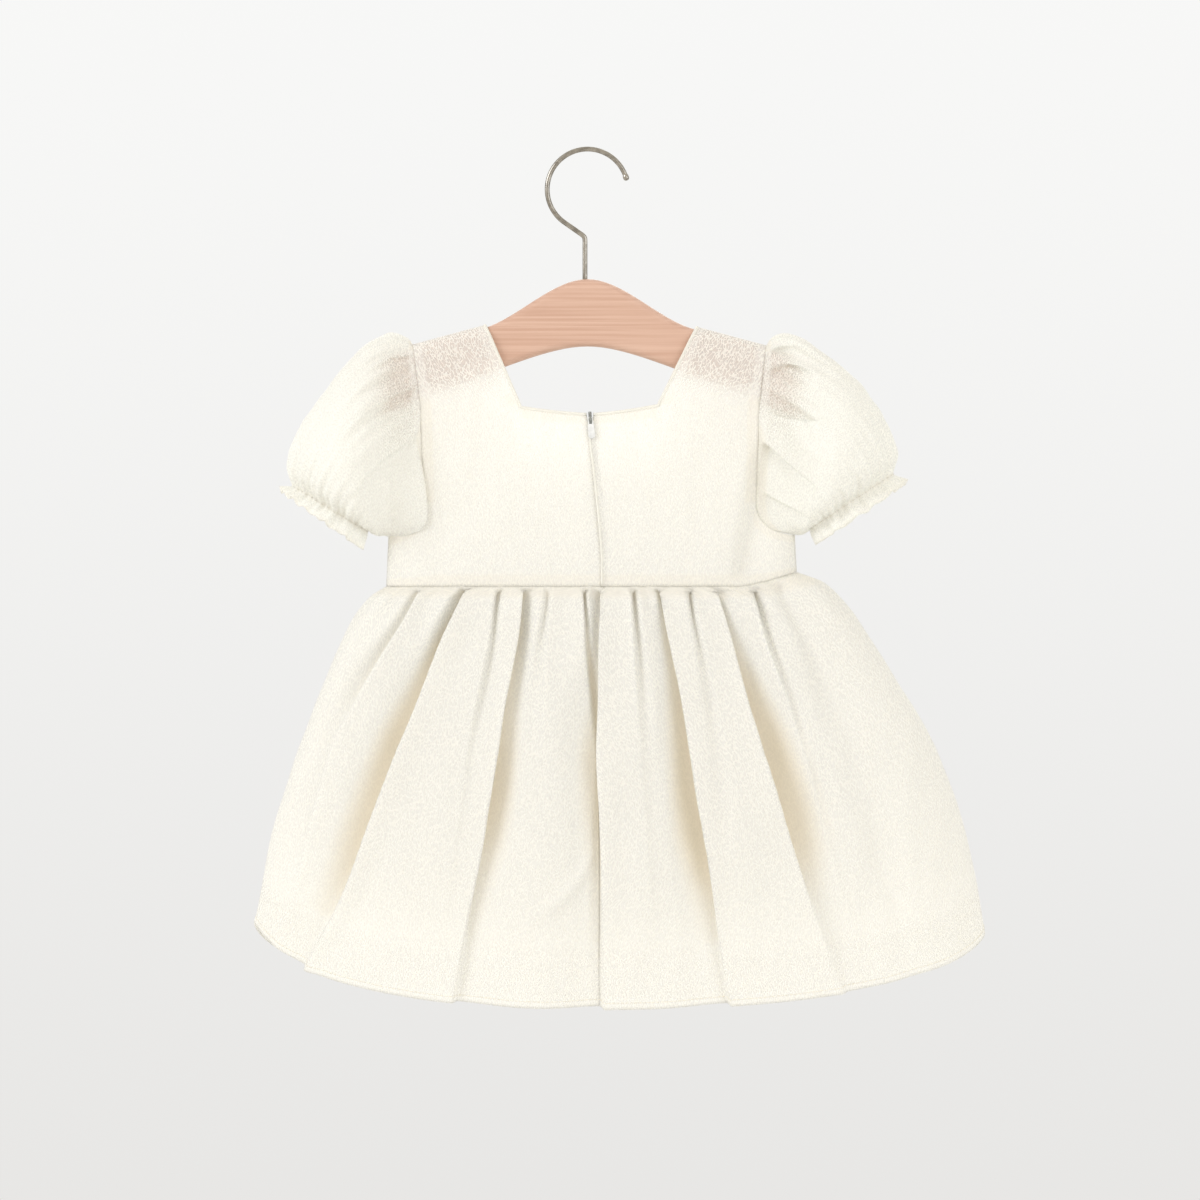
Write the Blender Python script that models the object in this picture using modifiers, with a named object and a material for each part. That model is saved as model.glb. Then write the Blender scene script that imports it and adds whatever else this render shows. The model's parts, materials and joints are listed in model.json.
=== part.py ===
"""A toddler's puff-sleeved dress of embossed lace cloth, hung by its shoulders on a wooden hanger.

The back of the dress, with its zip, faces -Y. +X is the right side as seen from there, and +Z is up.
The origin is the top of the inside of the hanger's hook, where a rail would carry it.
Every size in the tables is in millimetres, and the meshes are in metres.
"""

import math

import bmesh
import bpy
from mathutils import Matrix, Vector

MM = 0.001

# Cloth and seams
CLOTH = 1.2             # thickness of the folded and lined cloth
SEAM_SHIFT = 0.18       # how far each piece stays back from its seam line
SLEEVE_GAP = 0.3        # the sleeve's edge to the armhole's edge
WAIST_SHIFT = 0.25      # the bodice and the skirt each stay this far from the waist line
ROUNDNESS = 2.4         # power of the superellipse that every ring of the body follows

# Hanger
WIRE_RADIUS = 1.65
HOOK_RADIUS = 26.6      # to the middle of the wire
HOOK_TIP_ANGLE = 16.4   # degrees above level, where the hook ends
HOOK_TURN_END = 235.0   # degrees, where the round part runs into the neck
STEM_X = -1.65
NECK_FILLET = 2.6       # length taken off the neck's corner on each side
STEM_DEPTH = 12.0       # how far the wire goes into the wood
BORE_RADIUS = 1.95
WOOD_THICKNESS = 11.0
WOOD_BEVEL = 4.8
WOOD_TOP = -84.2
DOME_REACH = 70.0       # half width of the raised middle
SHOULDER_START_X = 67.0
SHOULDER_START_Z = -116.3
SHOULDER_SLOPE = -0.27
SHOULDER_END_X = 116.0
NOSE_X = 149.0
TOE_RADIUS = 10.0
TOE_TURN = 112.0        # degrees from level to where the toe meets the lower edge
ARCH_TOP = -128.7       # middle of the lower edge
ARCH_SLOPE = 0.42
ARCH_ROUND = 30.0

# Bodice
WAIST_Z = -287.0
UNDERARM_Z = -253.0
ARMHOLE_TURN_Z = -233.0
BACK_NECK_Z = -173.9
FRONT_NECK_Z = -195.0
FRONT_NECK_EXTRA = 2.0  # the front straps are cut back this much at the corner of the neck
FRONT_CENTRE_X = 3.0
STRAP_ARCH = 8.4        # radius of the strap where it bends over the wood
STRAP_TOP_Z = -114.2    # where the strap passes SHOULDER_START_X
ZIP_MOUTH = 2.2         # half width of the opening at the top of the zip
ZIP_THROAT = 0.4        # half width one row lower
QUARTER = 12            # bodice columns from the centre to the side seam
NECK_COLUMN = 4         # column of the neck's corner and the strap's inner edge
ARM_COLUMN = 9          # column of the armhole's edge
UNDERARM_ROW = 3
NECK_ROW = 7
ARCH_ROW = 11           # where the strap starts to bend over the wood
SHOULDER_ROW = 15
CREASE_LEAD = 0.25      # a crease starts this share of its length above its top
CREASE_FADE = 0.4

# Skirt and lining
SKIRT_QUARTER = 32      # skirt columns from the centre to the side seam
HEM_CENTRE_Z = -563.0
HEM_LEFT_Z = -508.5
HEM_RIGHT_Z = -513.8
HEM_ROUNDING = 1.35
HEM_LIFT = 0.35         # a fold lifts the hem by this share of its depth
GATHER_COLUMNS = 4      # skirt columns in one gather
MID_SHARE = 0.4         # where along the skirt the middle of a fold is stated
WAIST_REACH = 0.6       # a fold is this much narrower at the waist
FOLD_START = 0.06       # share of the skirt's length over which the folds begin below the waist
SIDE_CALM = 12.0        # the folds fade this near to the side seams' plane
LINING_STEP = 4         # the lining takes every fourth column
LINING_SEAT = 0.5       # from the innermost cloth at the waist to the lining's top edge

# Sleeves
SLEEVE_COLUMNS = 60
WAVE_COLUMNS = 4        # sleeve columns in one gather
HEAD_GATHER_END = 0.6   # the head's gathers end this far below the armhole's middle, of half its height
HEAD_GATHER_FADE = 0.8
UNDERSIDE_WAVES = 0.25  # height of the cuff's gathers on the short underside, as a share of the rest
UNDERSIDE_FADE = 0.5
HEAD_PLEAT = 0.6        # share of a pleat's depth at the first ring

# Zip
CHAIN_HALF_WIDTH = 2.5
CHAIN_THICKNESS = 1.0
CHAIN_INSET = 1.5
PIVOT_Z = -176.0
SLIDER_HALF_LENGTH = 4.0
SLIDER_HALF_WIDTH = 1.1
SLIDER_INSIDE = 2.5
SLIDER_OUTSIDE = 0.8
BRIDGE_HALF_LENGTH = 2.6
BRIDGE_HALF_WIDTH = 0.6
BRIDGE_BAR = 0.75
BRIDGE_GAP = 1.3
BRIDGE_ROOT = 0.6       # how far the bridge's feet reach into the slider's body
BRIDGE_CHAMFER = 0.7
SLIDER_CHAMFER = 0.35
CHAIN_CLEARANCE = 0.35
TAB_THICKNESS = 0.7
TAB_PIVOT_OUT = 1.45
TAB_CROSSBAR = 0.35
TAB_HOLE_HALF_WIDTH = 0.95
TAB_HOLE_END = 4.2
TAB_TOP_HALF_WIDTH = 1.65
TAB_END_RADIUS = 2.3
TAB_LENGTH = 14.0


def table(columns, *rows):
    """Rows of a table, each a dictionary with the named columns."""
    names = columns.split()
    return [dict(zip(names, row)) for row in rows]


# The two halves of the bodice. Distances are from the hanger's middle, without their sign.
SIDES = table(
    "sign side_waist side_arm arm_waist arm_low arm_neck arm_top neck_waist neck_low neck_top corner_z",
    (-1, 133.0, 131.5, 100.0, 108.0, 110.0, 115.2, 46.0, 43.9, 67.7, -169.3),
    (1, 138.3, 137.0, 98.0, 111.0, 113.0, 117.8, 52.0, 46.5, 72.3, -168.0),
)

# The zip slants to the right, so the middle of the rings does too.
CENTRE_LINE = table(
    "z x",
    (-287.0, 10.9),
    (-270.0, 10.9),
    (-250.0, 9.6),
    (-217.0, 6.3),
    (-190.0, 3.0),
    (-173.9, 1.65),
)

BODICE_DEPTH = table(
    "z depth",
    (-287.0, 24.0),
    (-253.0, 20.0),
    (-220.0, 17.0),
    (-170.0, 14.0),
    (-114.0, 12.0),
)

# The waist seam rises towards the right side seam.
WAIST_LINE = table(
    "x z",
    (98.0, -287.0),
    (111.4, -284.9),
    (124.9, -281.5),
    (138.3, -277.5),
)

# Creases in the back bodice, from top to bottom.
BODICE_CREASES = table(
    "top_x top_z bottom_x bottom_z depth reach_left reach_right",
    (112.0, -205.0, 99.0, -287.0, 6.5, 4.5, 17.0),
    (-104.0, -190.0, -98.0, -262.0, 2.0, 9.0, 7.0),
)

SKIRT_SECTIONS = table(
    "share left_flare right_flare back_depth front_depth gather",
    (0.00, 0.0, 0.0, 24.0, 24.0, 0.5),
    (0.03, 9.9, 17.8, 29.0, 28.0, 2.0),
    (0.09, 19.8, 31.7, 34.0, 31.0, 1.2),
    (0.18, 30.4, 46.9, 39.0, 35.0, 0.4),
    (0.30, 42.2, 66.0, 45.0, 39.0, 0.0),
    (0.43, 53.5, 84.5, 51.0, 43.0, 0.0),
    (0.57, 64.7, 99.0, 56.0, 46.0, 0.0),
    (0.71, 73.9, 109.6, 60.0, 49.0, 0.0),
    (0.85, 80.9, 117.5, 63.0, 51.0, 0.0),
    (1.00, 87.1, 123.4, 65.0, 52.0, 0.0),
)

SKIRT_CENTRE = table(
    "share x",
    (0.0, 10.9),
    (0.4, 8.0),
    (1.0, 8.3),
)

# Main folds of the skirt's back: where the valley runs, how deep it is and how far its sides reach.
BACK_FOLDS = table(
    "waist_x mid_x hem_x waist_depth mid_depth hem_depth reach_left reach_right",
    (-113.0, -163.0, -206.0, 4.0, 2.0, 0.0, 7.0, 7.0),
    (-92.7, -140.0, -178.0, 4.0, 14.0, 6.0, 22.0, 7.0),
    (-61.7, -73.6, -91.0, 4.0, 3.0, 0.0, 6.0, 8.0),
    (-42.6, -48.5, -77.5, 4.0, 18.0, 10.0, 7.0, 9.0),
    (-3.0, 1.6, -5.0, 4.0, 5.0, 2.0, 6.0, 6.0),
    (8.9, 6.3, 8.3, 3.0, 13.0, 12.0, 20.0, 6.0),
    (24.8, 28.0, 32.0, 2.5, 0.0, 0.0, 5.0, 5.0),
    (42.6, 61.0, 80.9, 5.0, 18.0, 9.0, 11.0, 7.0),
    (63.7, 71.0, 96.0, 4.0, 2.0, 0.0, 6.0, 7.0),
    (94.0, 123.8, 180.0, 5.0, 14.0, 4.0, 8.0, 22.0),
    (121.0, 140.0, 190.0, 4.0, 3.0, 0.0, 6.0, 12.0),
    (133.0, 206.0, 226.0, 0.0, 4.0, 5.0, 9.0, 9.0),
)

FRONT_FOLDS = table(
    "waist_x mid_x hem_x waist_depth mid_depth hem_depth reach_left reach_right",
    (-104.0, -150.0, -186.0, 4.0, 11.0, 5.0, 9.0, 18.0),
    (-74.0, -96.0, -118.0, 4.0, 5.0, 1.0, 7.0, 7.0),
    (-48.0, -58.0, -82.0, 5.0, 13.0, 9.0, 9.0, 8.0),
    (-21.0, -22.0, -30.0, 3.5, 2.0, 0.0, 6.0, 7.0),
    (6.0, 9.0, 14.0, 4.0, 12.0, 10.0, 8.0, 12.0),
    (34.0, 46.0, 60.0, 4.0, 4.0, 1.0, 6.0, 7.0),
    (62.0, 82.0, 112.0, 5.0, 13.0, 8.0, 12.0, 8.0),
    (92.0, 118.0, 150.0, 4.0, 4.0, 1.0, 7.0, 8.0),
    (117.0, 165.0, 203.0, 4.0, 10.0, 6.0, 16.0, 9.0),
)

LINING_SECTIONS = table(
    "share spread back_depth front_depth",
    (0.06, 0.45, 20.5, 20.5),
    (0.20, 0.50, 22.0, 21.5),
    (0.45, 0.55, 26.5, 24.0),
    (0.70, 0.58, 33.0, 29.0),
    (0.88, 0.60, 38.0, 33.0),
)

# One row for each ring of a sleeve: the top and the underside seen from the back, and the half depth.
# head and cuff are the heights of the gathers, and blend is how far the ring has left the armhole's shape.
LEFT_RINGS = table(
    "top_x top_z under_x under_z depth blend head cuff",
    (-120.5, -123.8, -133.0, -253.5, 17.0, 0.35, 1.3, 0.0),
    (-131.7, -121.8, -134.5, -254.0, 24.0, 0.75, 1.9, 0.0),
    (-148.8, -131.0, -136.0, -254.3, 34.0, 1.00, 1.1, 0.0),
    (-166.0, -148.8, -137.5, -254.3, 40.0, 1.00, 0.4, 0.0),
    (-181.2, -169.3, -139.0, -254.0, 42.0, 1.00, 0.0, 0.3),
    (-191.7, -187.8, -140.5, -253.3, 40.0, 1.00, 0.0, 0.8),
    (-197.7, -206.3, -142.0, -252.3, 34.0, 1.00, 0.0, 1.5),
    (-194.4, -220.8, -144.0, -251.5, 25.0, 1.00, 0.0, 1.3),
    (-203.0, -222.8, -148.0, -263.0, 30.0, 1.00, 0.0, 3.0),
)

RIGHT_RINGS = table(
    "top_x top_z under_x under_z depth blend head cuff",
    (123.8, -123.1, 138.6, -253.3, 17.0, 0.35, 1.3, 0.0),
    (135.0, -122.4, 140.0, -253.3, 24.0, 0.75, 1.9, 0.0),
    (152.1, -131.0, 141.2, -253.0, 34.0, 1.00, 1.1, 0.0),
    (170.0, -144.2, 142.3, -252.6, 40.0, 1.00, 0.4, 0.0),
    (185.1, -159.4, 143.3, -252.0, 42.0, 1.00, 0.0, 0.3),
    (196.4, -178.5, 144.3, -251.2, 40.0, 1.00, 0.0, 0.8),
    (203.6, -198.3, 145.2, -250.2, 34.0, 1.00, 0.0, 1.5),
    (201.6, -212.9, 146.4, -249.3, 25.0, 1.00, 0.0, 1.3),
    (210.9, -218.1, 151.0, -259.5, 30.0, 1.00, 0.0, 3.0),
)

# Pleats pressed into the sleeves, at degrees round the ring from the top by way of the back.
LEFT_PLEATS = table(
    "first_angle last_angle last_ring depth reach",
    (62.0, 66.0, 4, 2.0, 8.0),
    (92.0, 96.0, 6, 3.0, 9.0),
    (285.0, 280.0, 5, 2.5, 9.0),
)

RIGHT_PLEATS = table(
    "first_angle last_angle last_ring depth reach",
    (36.0, 42.0, 4, 3.0, 7.0),
    (66.0, 74.0, 6, 4.0, 8.0),
    (92.0, 108.0, 5, 3.0, 8.0),
    (275.0, 268.0, 5, 2.5, 9.0),
)


def mix(first, last, share):
    return first + (last - first) * share


def soft_step(share):
    share = min(1.0, max(0.0, share))
    return share * share * (3.0 - 2.0 * share)


def look_up(rows, place_column, place, column):
    """A column's value at a place, on straight lines between the rows."""
    low = rows[0]
    if place <= low[place_column]:
        return low[column]
    for high in rows[1:]:
        if place <= high[place_column]:
            share = (place - low[place_column]) / (high[place_column] - low[place_column])
            return mix(low[column], high[column], share)
        low = high
    return low[column]


def hollow(offset, reach_left, reach_right):
    """Depth of a crease beside its valley, as a share of the depth in the valley."""
    reach = reach_left if offset < 0 else reach_right
    return math.exp(-((abs(offset) / reach) ** 1.7))


def ring_depth(offset, half_width, depth):
    """Distance from the middle plane to a superellipse ring, beside its centre by offset."""
    share = min(1.0, abs(offset) / half_width)
    return depth * (1.0 - share ** ROUNDNESS) ** (1.0 / ROUNDNESS)


def quarter_ring(half_width, depth, steps):
    """Points of a quarter ring from its centre to its side, at even distances along it."""
    fine = 240
    outline = []
    for index in range(fine + 1):
        angle = 0.5 * math.pi * index / fine
        across = half_width * math.sin(angle) ** (2.0 / ROUNDNESS)
        out = depth * max(0.0, math.cos(angle)) ** (2.0 / ROUNDNESS)
        outline.append(Vector((across, out)))
    lengths = [0.0]
    for first, last in zip(outline, outline[1:]):
        lengths.append(lengths[-1] + (last - first).length)
    points = []
    place = 0
    for step in range(steps + 1):
        wanted = lengths[-1] * step / steps
        while place < fine - 1 and lengths[place + 1] < wanted:
            place += 1
        share = (wanted - lengths[place]) / (lengths[place + 1] - lengths[place])
        points.append(outline[place].lerp(outline[place + 1], min(1.0, share)))
    return points


def make_material(name, color, roughness, metallic=0.0):
    material = bpy.data.materials.new(name)
    material.use_nodes = True
    shader = material.node_tree.nodes["Principled BSDF"]
    shader.inputs["Base Color"].default_value = (*color, 1.0)
    shader.inputs["Roughness"].default_value = roughness
    shader.inputs["Metallic"].default_value = metallic
    return material


def add_object(name, mesh, material, collection):
    mesh.materials.clear()
    mesh.materials.append(material)
    thing = bpy.data.objects.new(name, mesh)
    collection.objects.link(thing)
    return thing


def surface_normals(points, cells):
    """Outward direction at each grid point, shared by the pieces that meet there."""
    normals = {key: Vector() for key in points}
    for corners in cells:
        a, b, c, d = (points[key] for key in corners)
        facing = (c - a).cross(d - b)
        for key in corners:
            normals[key] += facing
    return {key: normal.normalized() for key, normal in normals.items()}


def towards(points, key, neighbour, distance):
    return (points[neighbour] - points[key]).normalized() * distance


def cloth_wall(name, points, normals, cells, shifts, thickness, material, collection):
    """Closed wall of cloth: its outside on the grid, its inside moved in along the normals."""
    shell = bmesh.new()
    outer = {}
    inner = {}
    for key in {corner for corners in cells for corner in corners}:
        place = points[key] + shifts.get(key, Vector())
        outer[key] = shell.verts.new(place * MM)
        inner[key] = shell.verts.new((place - normals[key] * thickness) * MM)
    edges = {}
    for corners in cells:
        a, b, c, d = corners
        if (points[a] - points[c]).length <= (points[b] - points[d]).length:
            halves = ((a, b, c), (a, c, d))
        else:
            halves = ((b, c, d), (b, d, a))
        for half in halves:
            shell.faces.new([outer[key] for key in half])
            shell.faces.new([inner[key] for key in reversed(half)])
        for first, last in ((a, b), (b, c), (c, d), (d, a)):
            if (last, first) in edges:
                del edges[(last, first)]
            else:
                edges[(first, last)] = True
    for first, last in edges:
        shell.faces.new((outer[last], outer[first], inner[first]))
        shell.faces.new((outer[last], inner[first], inner[last]))
    bmesh.ops.recalc_face_normals(shell, faces=shell.faces)
    mesh = bpy.data.meshes.new(name)
    shell.to_mesh(mesh)
    shell.free()
    return add_object(name, mesh, material, collection)


def bodice_column(index):
    """Side of the body, face and distance from the centre, for a column counted round the ring."""
    quarter, step = divmod(index, QUARTER)
    if quarter == 0:
        return SIDES[0], -1, step
    if quarter == 1:
        return SIDES[0], 1, QUARTER - step
    if quarter == 2:
        return SIDES[1], 1, step
    return SIDES[1], -1, QUARTER - step


def bodice_key(index, row):
    """Grid key, the same for the two edges that a seam joins."""
    ring = 4 * QUARTER
    if row == SHOULDER_ROW and QUARTER < index <= 2 * QUARTER:
        index = 2 * QUARTER - index
    elif row == SHOULDER_ROW and 2 * QUARTER < index < 3 * QUARTER:
        index = 6 * QUARTER - index
    return (index % ring, row)


def waist_height(x):
    return look_up(WAIST_LINE, "x", x, "z")


def side_seam(side, z):
    """Distance of the side seam from the hanger's middle."""
    return mix(side["side_waist"], side["side_arm"], min(1.0, (z - WAIST_Z) / (UNDERARM_Z - WAIST_Z)))


def bodice_across(side, face, step, z, rise):
    """Signed x of a bodice column at a height; rise runs from 0 at the neck corner to 1 at the shoulder."""
    below = soft_step((z - WAIST_Z) / (side["corner_z"] - WAIST_Z))
    extra = FRONT_NECK_EXTRA * (1.0 - rise) if face > 0 else 0.0
    neck = mix(mix(side["neck_waist"], side["neck_low"], below), side["neck_top"], rise) + extra
    if z < ARMHOLE_TURN_Z:
        arm = mix(side["arm_waist"], side["arm_low"], (z - WAIST_Z) / (ARMHOLE_TURN_Z - WAIST_Z))
    else:
        climb = (z - ARMHOLE_TURN_Z) / (side["corner_z"] - ARMHOLE_TURN_Z)
        arm = mix(mix(side["arm_low"], side["arm_neck"], min(1.0, climb)), side["arm_top"], rise)
    centre = look_up(CENTRE_LINE, "z", z, "x") if face < 0 else FRONT_CENTRE_X
    if step <= NECK_COLUMN:
        return mix(centre, side["sign"] * neck, step / NECK_COLUMN)
    if step <= ARM_COLUMN:
        share = (step - NECK_COLUMN) / (ARM_COLUMN - NECK_COLUMN)
        return side["sign"] * mix(neck, arm, share)
    share = (step - ARM_COLUMN) / (QUARTER - ARM_COLUMN)
    return side["sign"] * mix(arm, side_seam(side, z), share)


def bodice_point(index, row):
    side, face, step = bodice_column(index)
    neck_z = mix(BACK_NECK_Z, side["corner_z"], min(1.0, step / NECK_COLUMN)) if face < 0 else FRONT_NECK_Z
    rise = 0.0
    if row <= UNDERARM_ROW:
        top_z = ARMHOLE_TURN_Z
        top_x = bodice_across(side, face, step, top_z, 0.0)
        if step > ARM_COLUMN:
            turn = 0.5 * math.pi * (step - ARM_COLUMN) / (QUARTER - ARM_COLUMN)
            top_z = ARMHOLE_TURN_Z + (UNDERARM_Z - ARMHOLE_TURN_Z) * math.sin(turn)
            reach = side["side_arm"] - side["arm_low"]
            top_x = side["sign"] * (side["side_arm"] - reach * math.cos(turn))
        waist_x = bodice_across(side, face, step, WAIST_Z, 0.0)
        z = mix(waist_height(waist_x), top_z, row / UNDERARM_ROW)
        x = bodice_across(side, face, step, z, 0.0)
        if step > ARM_COLUMN:
            x = mix(waist_x, top_x, row / UNDERARM_ROW)
    elif row <= NECK_ROW:
        z = mix(ARMHOLE_TURN_Z, neck_z, (row - UNDERARM_ROW) / (NECK_ROW - UNDERARM_ROW))
        x = bodice_across(side, face, step, z, 0.0)
    else:
        shoulder_x = bodice_across(side, face, step, side["corner_z"], 1.0)
        strap_top = STRAP_TOP_Z + SHOULDER_SLOPE * (abs(shoulder_x) - SHOULDER_START_X)
        arch_base = 1.0 - STRAP_ARCH / (strap_top - neck_z)
        if row <= ARCH_ROW:
            rise = arch_base * (row - NECK_ROW) / (ARCH_ROW - NECK_ROW)
        else:
            turn = 0.5 * math.pi * (row - ARCH_ROW) / (SHOULDER_ROW - ARCH_ROW)
            rise = arch_base + (1.0 - arch_base) * math.sin(turn)
        z = mix(neck_z, strap_top, rise)
        x = bodice_across(side, face, step, neck_z, rise)
    middle = look_up(CENTRE_LINE, "z", z, "x")
    half_width = abs(side["sign"] * side_seam(side, z) - middle)
    out = ring_depth(x - middle, half_width, look_up(BODICE_DEPTH, "z", z, "depth"))
    if row > ARCH_ROW:
        out = STRAP_ARCH * math.cos(0.5 * math.pi * (row - ARCH_ROW) / (SHOULDER_ROW - ARCH_ROW))
    elif row > NECK_ROW:
        out = mix(out, STRAP_ARCH, soft_step((row - NECK_ROW) / (ARCH_ROW - NECK_ROW)))
    if face < 0 and row <= NECK_ROW and step < QUARTER:
        for crease in BODICE_CREASES:
            along = (z - crease["top_z"]) / (crease["bottom_z"] - crease["top_z"])
            valley = mix(crease["top_x"], crease["bottom_x"], along)
            strength = soft_step((along + CREASE_LEAD) / CREASE_FADE)
            beside = hollow(x - valley, crease["reach_left"], crease["reach_right"])
            out -= crease["depth"] * strength * beside
    return Vector((x, face * out, z))


def in_bodice(index, row):
    """Whether the cell above and beside a grid point is cloth, and not neck or armhole."""
    nearest = min(bodice_column(index)[2], bodice_column(index + 1)[2]) if index + 1 < 4 * QUARTER else 0
    if nearest < NECK_COLUMN:
        return row < NECK_ROW
    if nearest < ARM_COLUMN:
        return row < SHOULDER_ROW
    return row < UNDERARM_ROW


def bodice_grid():
    points = {}
    cells = []
    for index in range(4 * QUARTER):
        for row in range(SHOULDER_ROW):
            if not in_bodice(index, row):
                continue
            cell = ((index, row), (index, row + 1), (index + 1, row + 1), (index + 1, row))
            for column, level in cell:
                points[bodice_key(column, level)] = bodice_point(column % (4 * QUARTER), level)
            cells.append((index, [bodice_key(*corner) for corner in cell]))
    normals = surface_normals(points, [cell for _, cell in cells])
    for key, normal in normals.items():
        if key[1] == 0:
            normals[key] = Vector((normal.x, normal.y, 0.0)).normalized()
    return points, normals, cells


def bodice_panel(name, first, last, grid, material, collection):
    """The panel between two columns, kept back from the seams at its side edges, shoulders and waist."""
    points, normals, cells = grid
    ring = 4 * QUARTER
    shifts = {}
    for row in range(NECK_ROW + 1):
        inset = SEAM_SHIFT
        if row == NECK_ROW:
            inset = ZIP_MOUTH
        elif row == NECK_ROW - 1:
            inset = ZIP_THROAT
        for column, beside in ((first, first + 1), (last, last - 1)):
            centre_seam = column % ring == 0
            if centre_seam or row <= UNDERARM_ROW:
                distance = inset if centre_seam else SEAM_SHIFT
                key = bodice_key(column, row)
                shifts[key] = towards(points, key, bodice_key(beside, row), distance)
    for column in range(first, last + 1):
        key = bodice_key(column, 0)
        shifts[key] = shifts.get(key, Vector()) + Vector((0.0, 0.0, WAIST_SHIFT))
        if NECK_COLUMN <= bodice_column(column % ring)[2] <= ARM_COLUMN:
            key = bodice_key(column, SHOULDER_ROW)
            down = bodice_point(column % ring, SHOULDER_ROW - 1) - points[key]
            shifts[key] = down.normalized() * SEAM_SHIFT
    own = [cell for index, cell in cells if first <= index < last]
    return cloth_wall(name, points, normals, own, shifts, CLOTH, material, collection)


def armhole_loop(sign, grid):
    """Points of the armhole's edge from the shoulder by way of the back, with the way out of the bodice."""
    points, normals, _ = grid
    back = [(ARM_COLUMN, row) for row in range(SHOULDER_ROW, UNDERARM_ROW, -1)]
    back += [(column, UNDERARM_ROW) for column in range(ARM_COLUMN, QUARTER + 1)]
    front = [(2 * QUARTER - column, row) for column, row in reversed(back[1:-1])]
    loop = back + front
    if sign > 0:
        loop = [((4 * QUARTER - column), row) for column, row in loop]
    keys = [bodice_key(*key) for key in loop]
    middle = sum((points[key] for key in keys), Vector()) / len(keys)
    places = []
    ways = []
    for place, key in enumerate(keys):
        before = points[keys[place - 1]]
        after = points[keys[(place + 1) % len(keys)]]
        way = normals[key].cross(after - before).normalized()
        if way.dot(middle - points[key]) < 0:
            way.negate()
        places.append(points[key])
        ways.append(way)
    fine_places = []
    fine_ways = []
    for place, way in enumerate(ways):
        after = (place + 1) % len(ways)
        fine_places += [places[place], places[place].lerp(places[after], 0.5)]
        fine_ways += [way, (way + ways[after]).normalized()]
    return fine_places, fine_ways


def sleeve(name, sign, rings, pleats, grid, material, collection):
    """Puffed tube from the armhole to the ruffle of the cuff."""
    places, ways = armhole_loop(sign, grid)
    edge = [place + way * SLEEVE_GAP for place, way in zip(places, ways)]
    half = SLEEVE_COLUMNS // 2
    points = {}
    for column in range(SLEEVE_COLUMNS):
        points[(column, 0)] = edge[column]
        turn = 2.0 * math.pi * column / SLEEVE_COLUMNS
        for number, ring in enumerate(rings, start=1):
            top = Vector((ring["top_x"], 0.0, ring["top_z"]))
            under = Vector((ring["under_x"], 0.0, ring["under_z"]))
            round_point = (top + under) / 2.0 + (top - under) * (math.cos(turn) / 2.0)
            round_point.y = -ring["depth"] * math.sin(turn)
            above = (1.0 + math.cos(turn)) / 2.0
            moved = edge[column] + (top - edge[0]) * above + (under - edge[half]) * (1.0 - above)
            points[(column, number)] = moved.lerp(round_point, ring["blend"])
    cells = []
    for column in range(SLEEVE_COLUMNS):
        beside = (column + 1) % SLEEVE_COLUMNS
        for number in range(len(rings)):
            cell = [(column, number), (column, number + 1), (beside, number + 1), (beside, number)]
            cells.append(cell if sign < 0 else cell[::-1])
    normals = surface_normals(points, cells)
    for (column, number), normal in normals.items():
        if number == 0:
            continue
        ring = rings[number - 1]
        angle = 360.0 * column / SLEEVE_COLUMNS
        raised = math.cos(math.radians(angle))
        upper = soft_step((raised + HEAD_GATHER_END) / HEAD_GATHER_FADE)
        tucked = mix(UNDERSIDE_WAVES, 1.0, soft_step((raised + 1.0) / UNDERSIDE_FADE))
        wave = math.cos(2.0 * math.pi * column / WAVE_COLUMNS)
        height = wave * (ring["head"] * upper + ring["cuff"] * tucked)
        for pleat in pleats:
            if number <= pleat["last_ring"]:
                along = (number - 1) / (pleat["last_ring"] - 1)
                valley = mix(pleat["first_angle"], pleat["last_angle"], along)
                fade = soft_step(2.0 * (1.0 - along) + 0.3) * (HEAD_PLEAT if number == 1 else 1.0)
                height -= pleat["depth"] * fade * hollow(angle - valley, pleat["reach"], pleat["reach"])
        points[(column, number)] = points[(column, number)] + normal * height
    normals = surface_normals(points, cells)
    for column in range(SLEEVE_COLUMNS):
        normal = normals[(column, 0)]
        back_into_bodice = max(0.0, normal.dot(ways[column]))
        normals[(column, 0)] = (normal - ways[column] * back_into_bodice).normalized()
    return cloth_wall(name, points, normals, cells, {}, CLOTH, material, collection)


def fold_depth(folds, x, share):
    """How far the folds press the skirt in at a place."""
    total = 0.0
    for fold in folds:
        if share <= MID_SHARE:
            way = share / MID_SHARE
            valley = mix(fold["waist_x"], fold["mid_x"], way)
            deep = mix(fold["waist_depth"], fold["mid_depth"], way) * soft_step(share / FOLD_START)
        else:
            way = (share - MID_SHARE) / (1.0 - MID_SHARE)
            valley = mix(fold["mid_x"], fold["hem_x"], way)
            deep = mix(fold["mid_depth"], fold["hem_depth"], way)
        reach = mix(WAIST_REACH, 1.0, soft_step(share / MID_SHARE))
        total += deep * hollow(x - valley, fold["reach_left"] * reach, fold["reach_right"] * reach)
    return total


def body_ring(share, left, right, back, front, steps):
    """Ring of skirt or lining: points round it, and how near each is to the middle of its face."""
    centre = look_up(SKIRT_CENTRE, "share", share, "x")
    ring = []
    for sign, half_width, face, depth, inward in (
        (-1, left + centre, -1, back, False),
        (-1, left + centre, 1, front, True),
        (1, right - centre, 1, front, False),
        (1, right - centre, -1, back, True),
    ):
        quarter = quarter_ring(half_width, depth, steps)
        if inward:
            quarter = quarter[::-1]
        for point in quarter[:-1]:
            ring.append((Vector((centre + sign * point.x, face * point.y, 0.0)), point.y / depth))
    return ring


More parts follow.
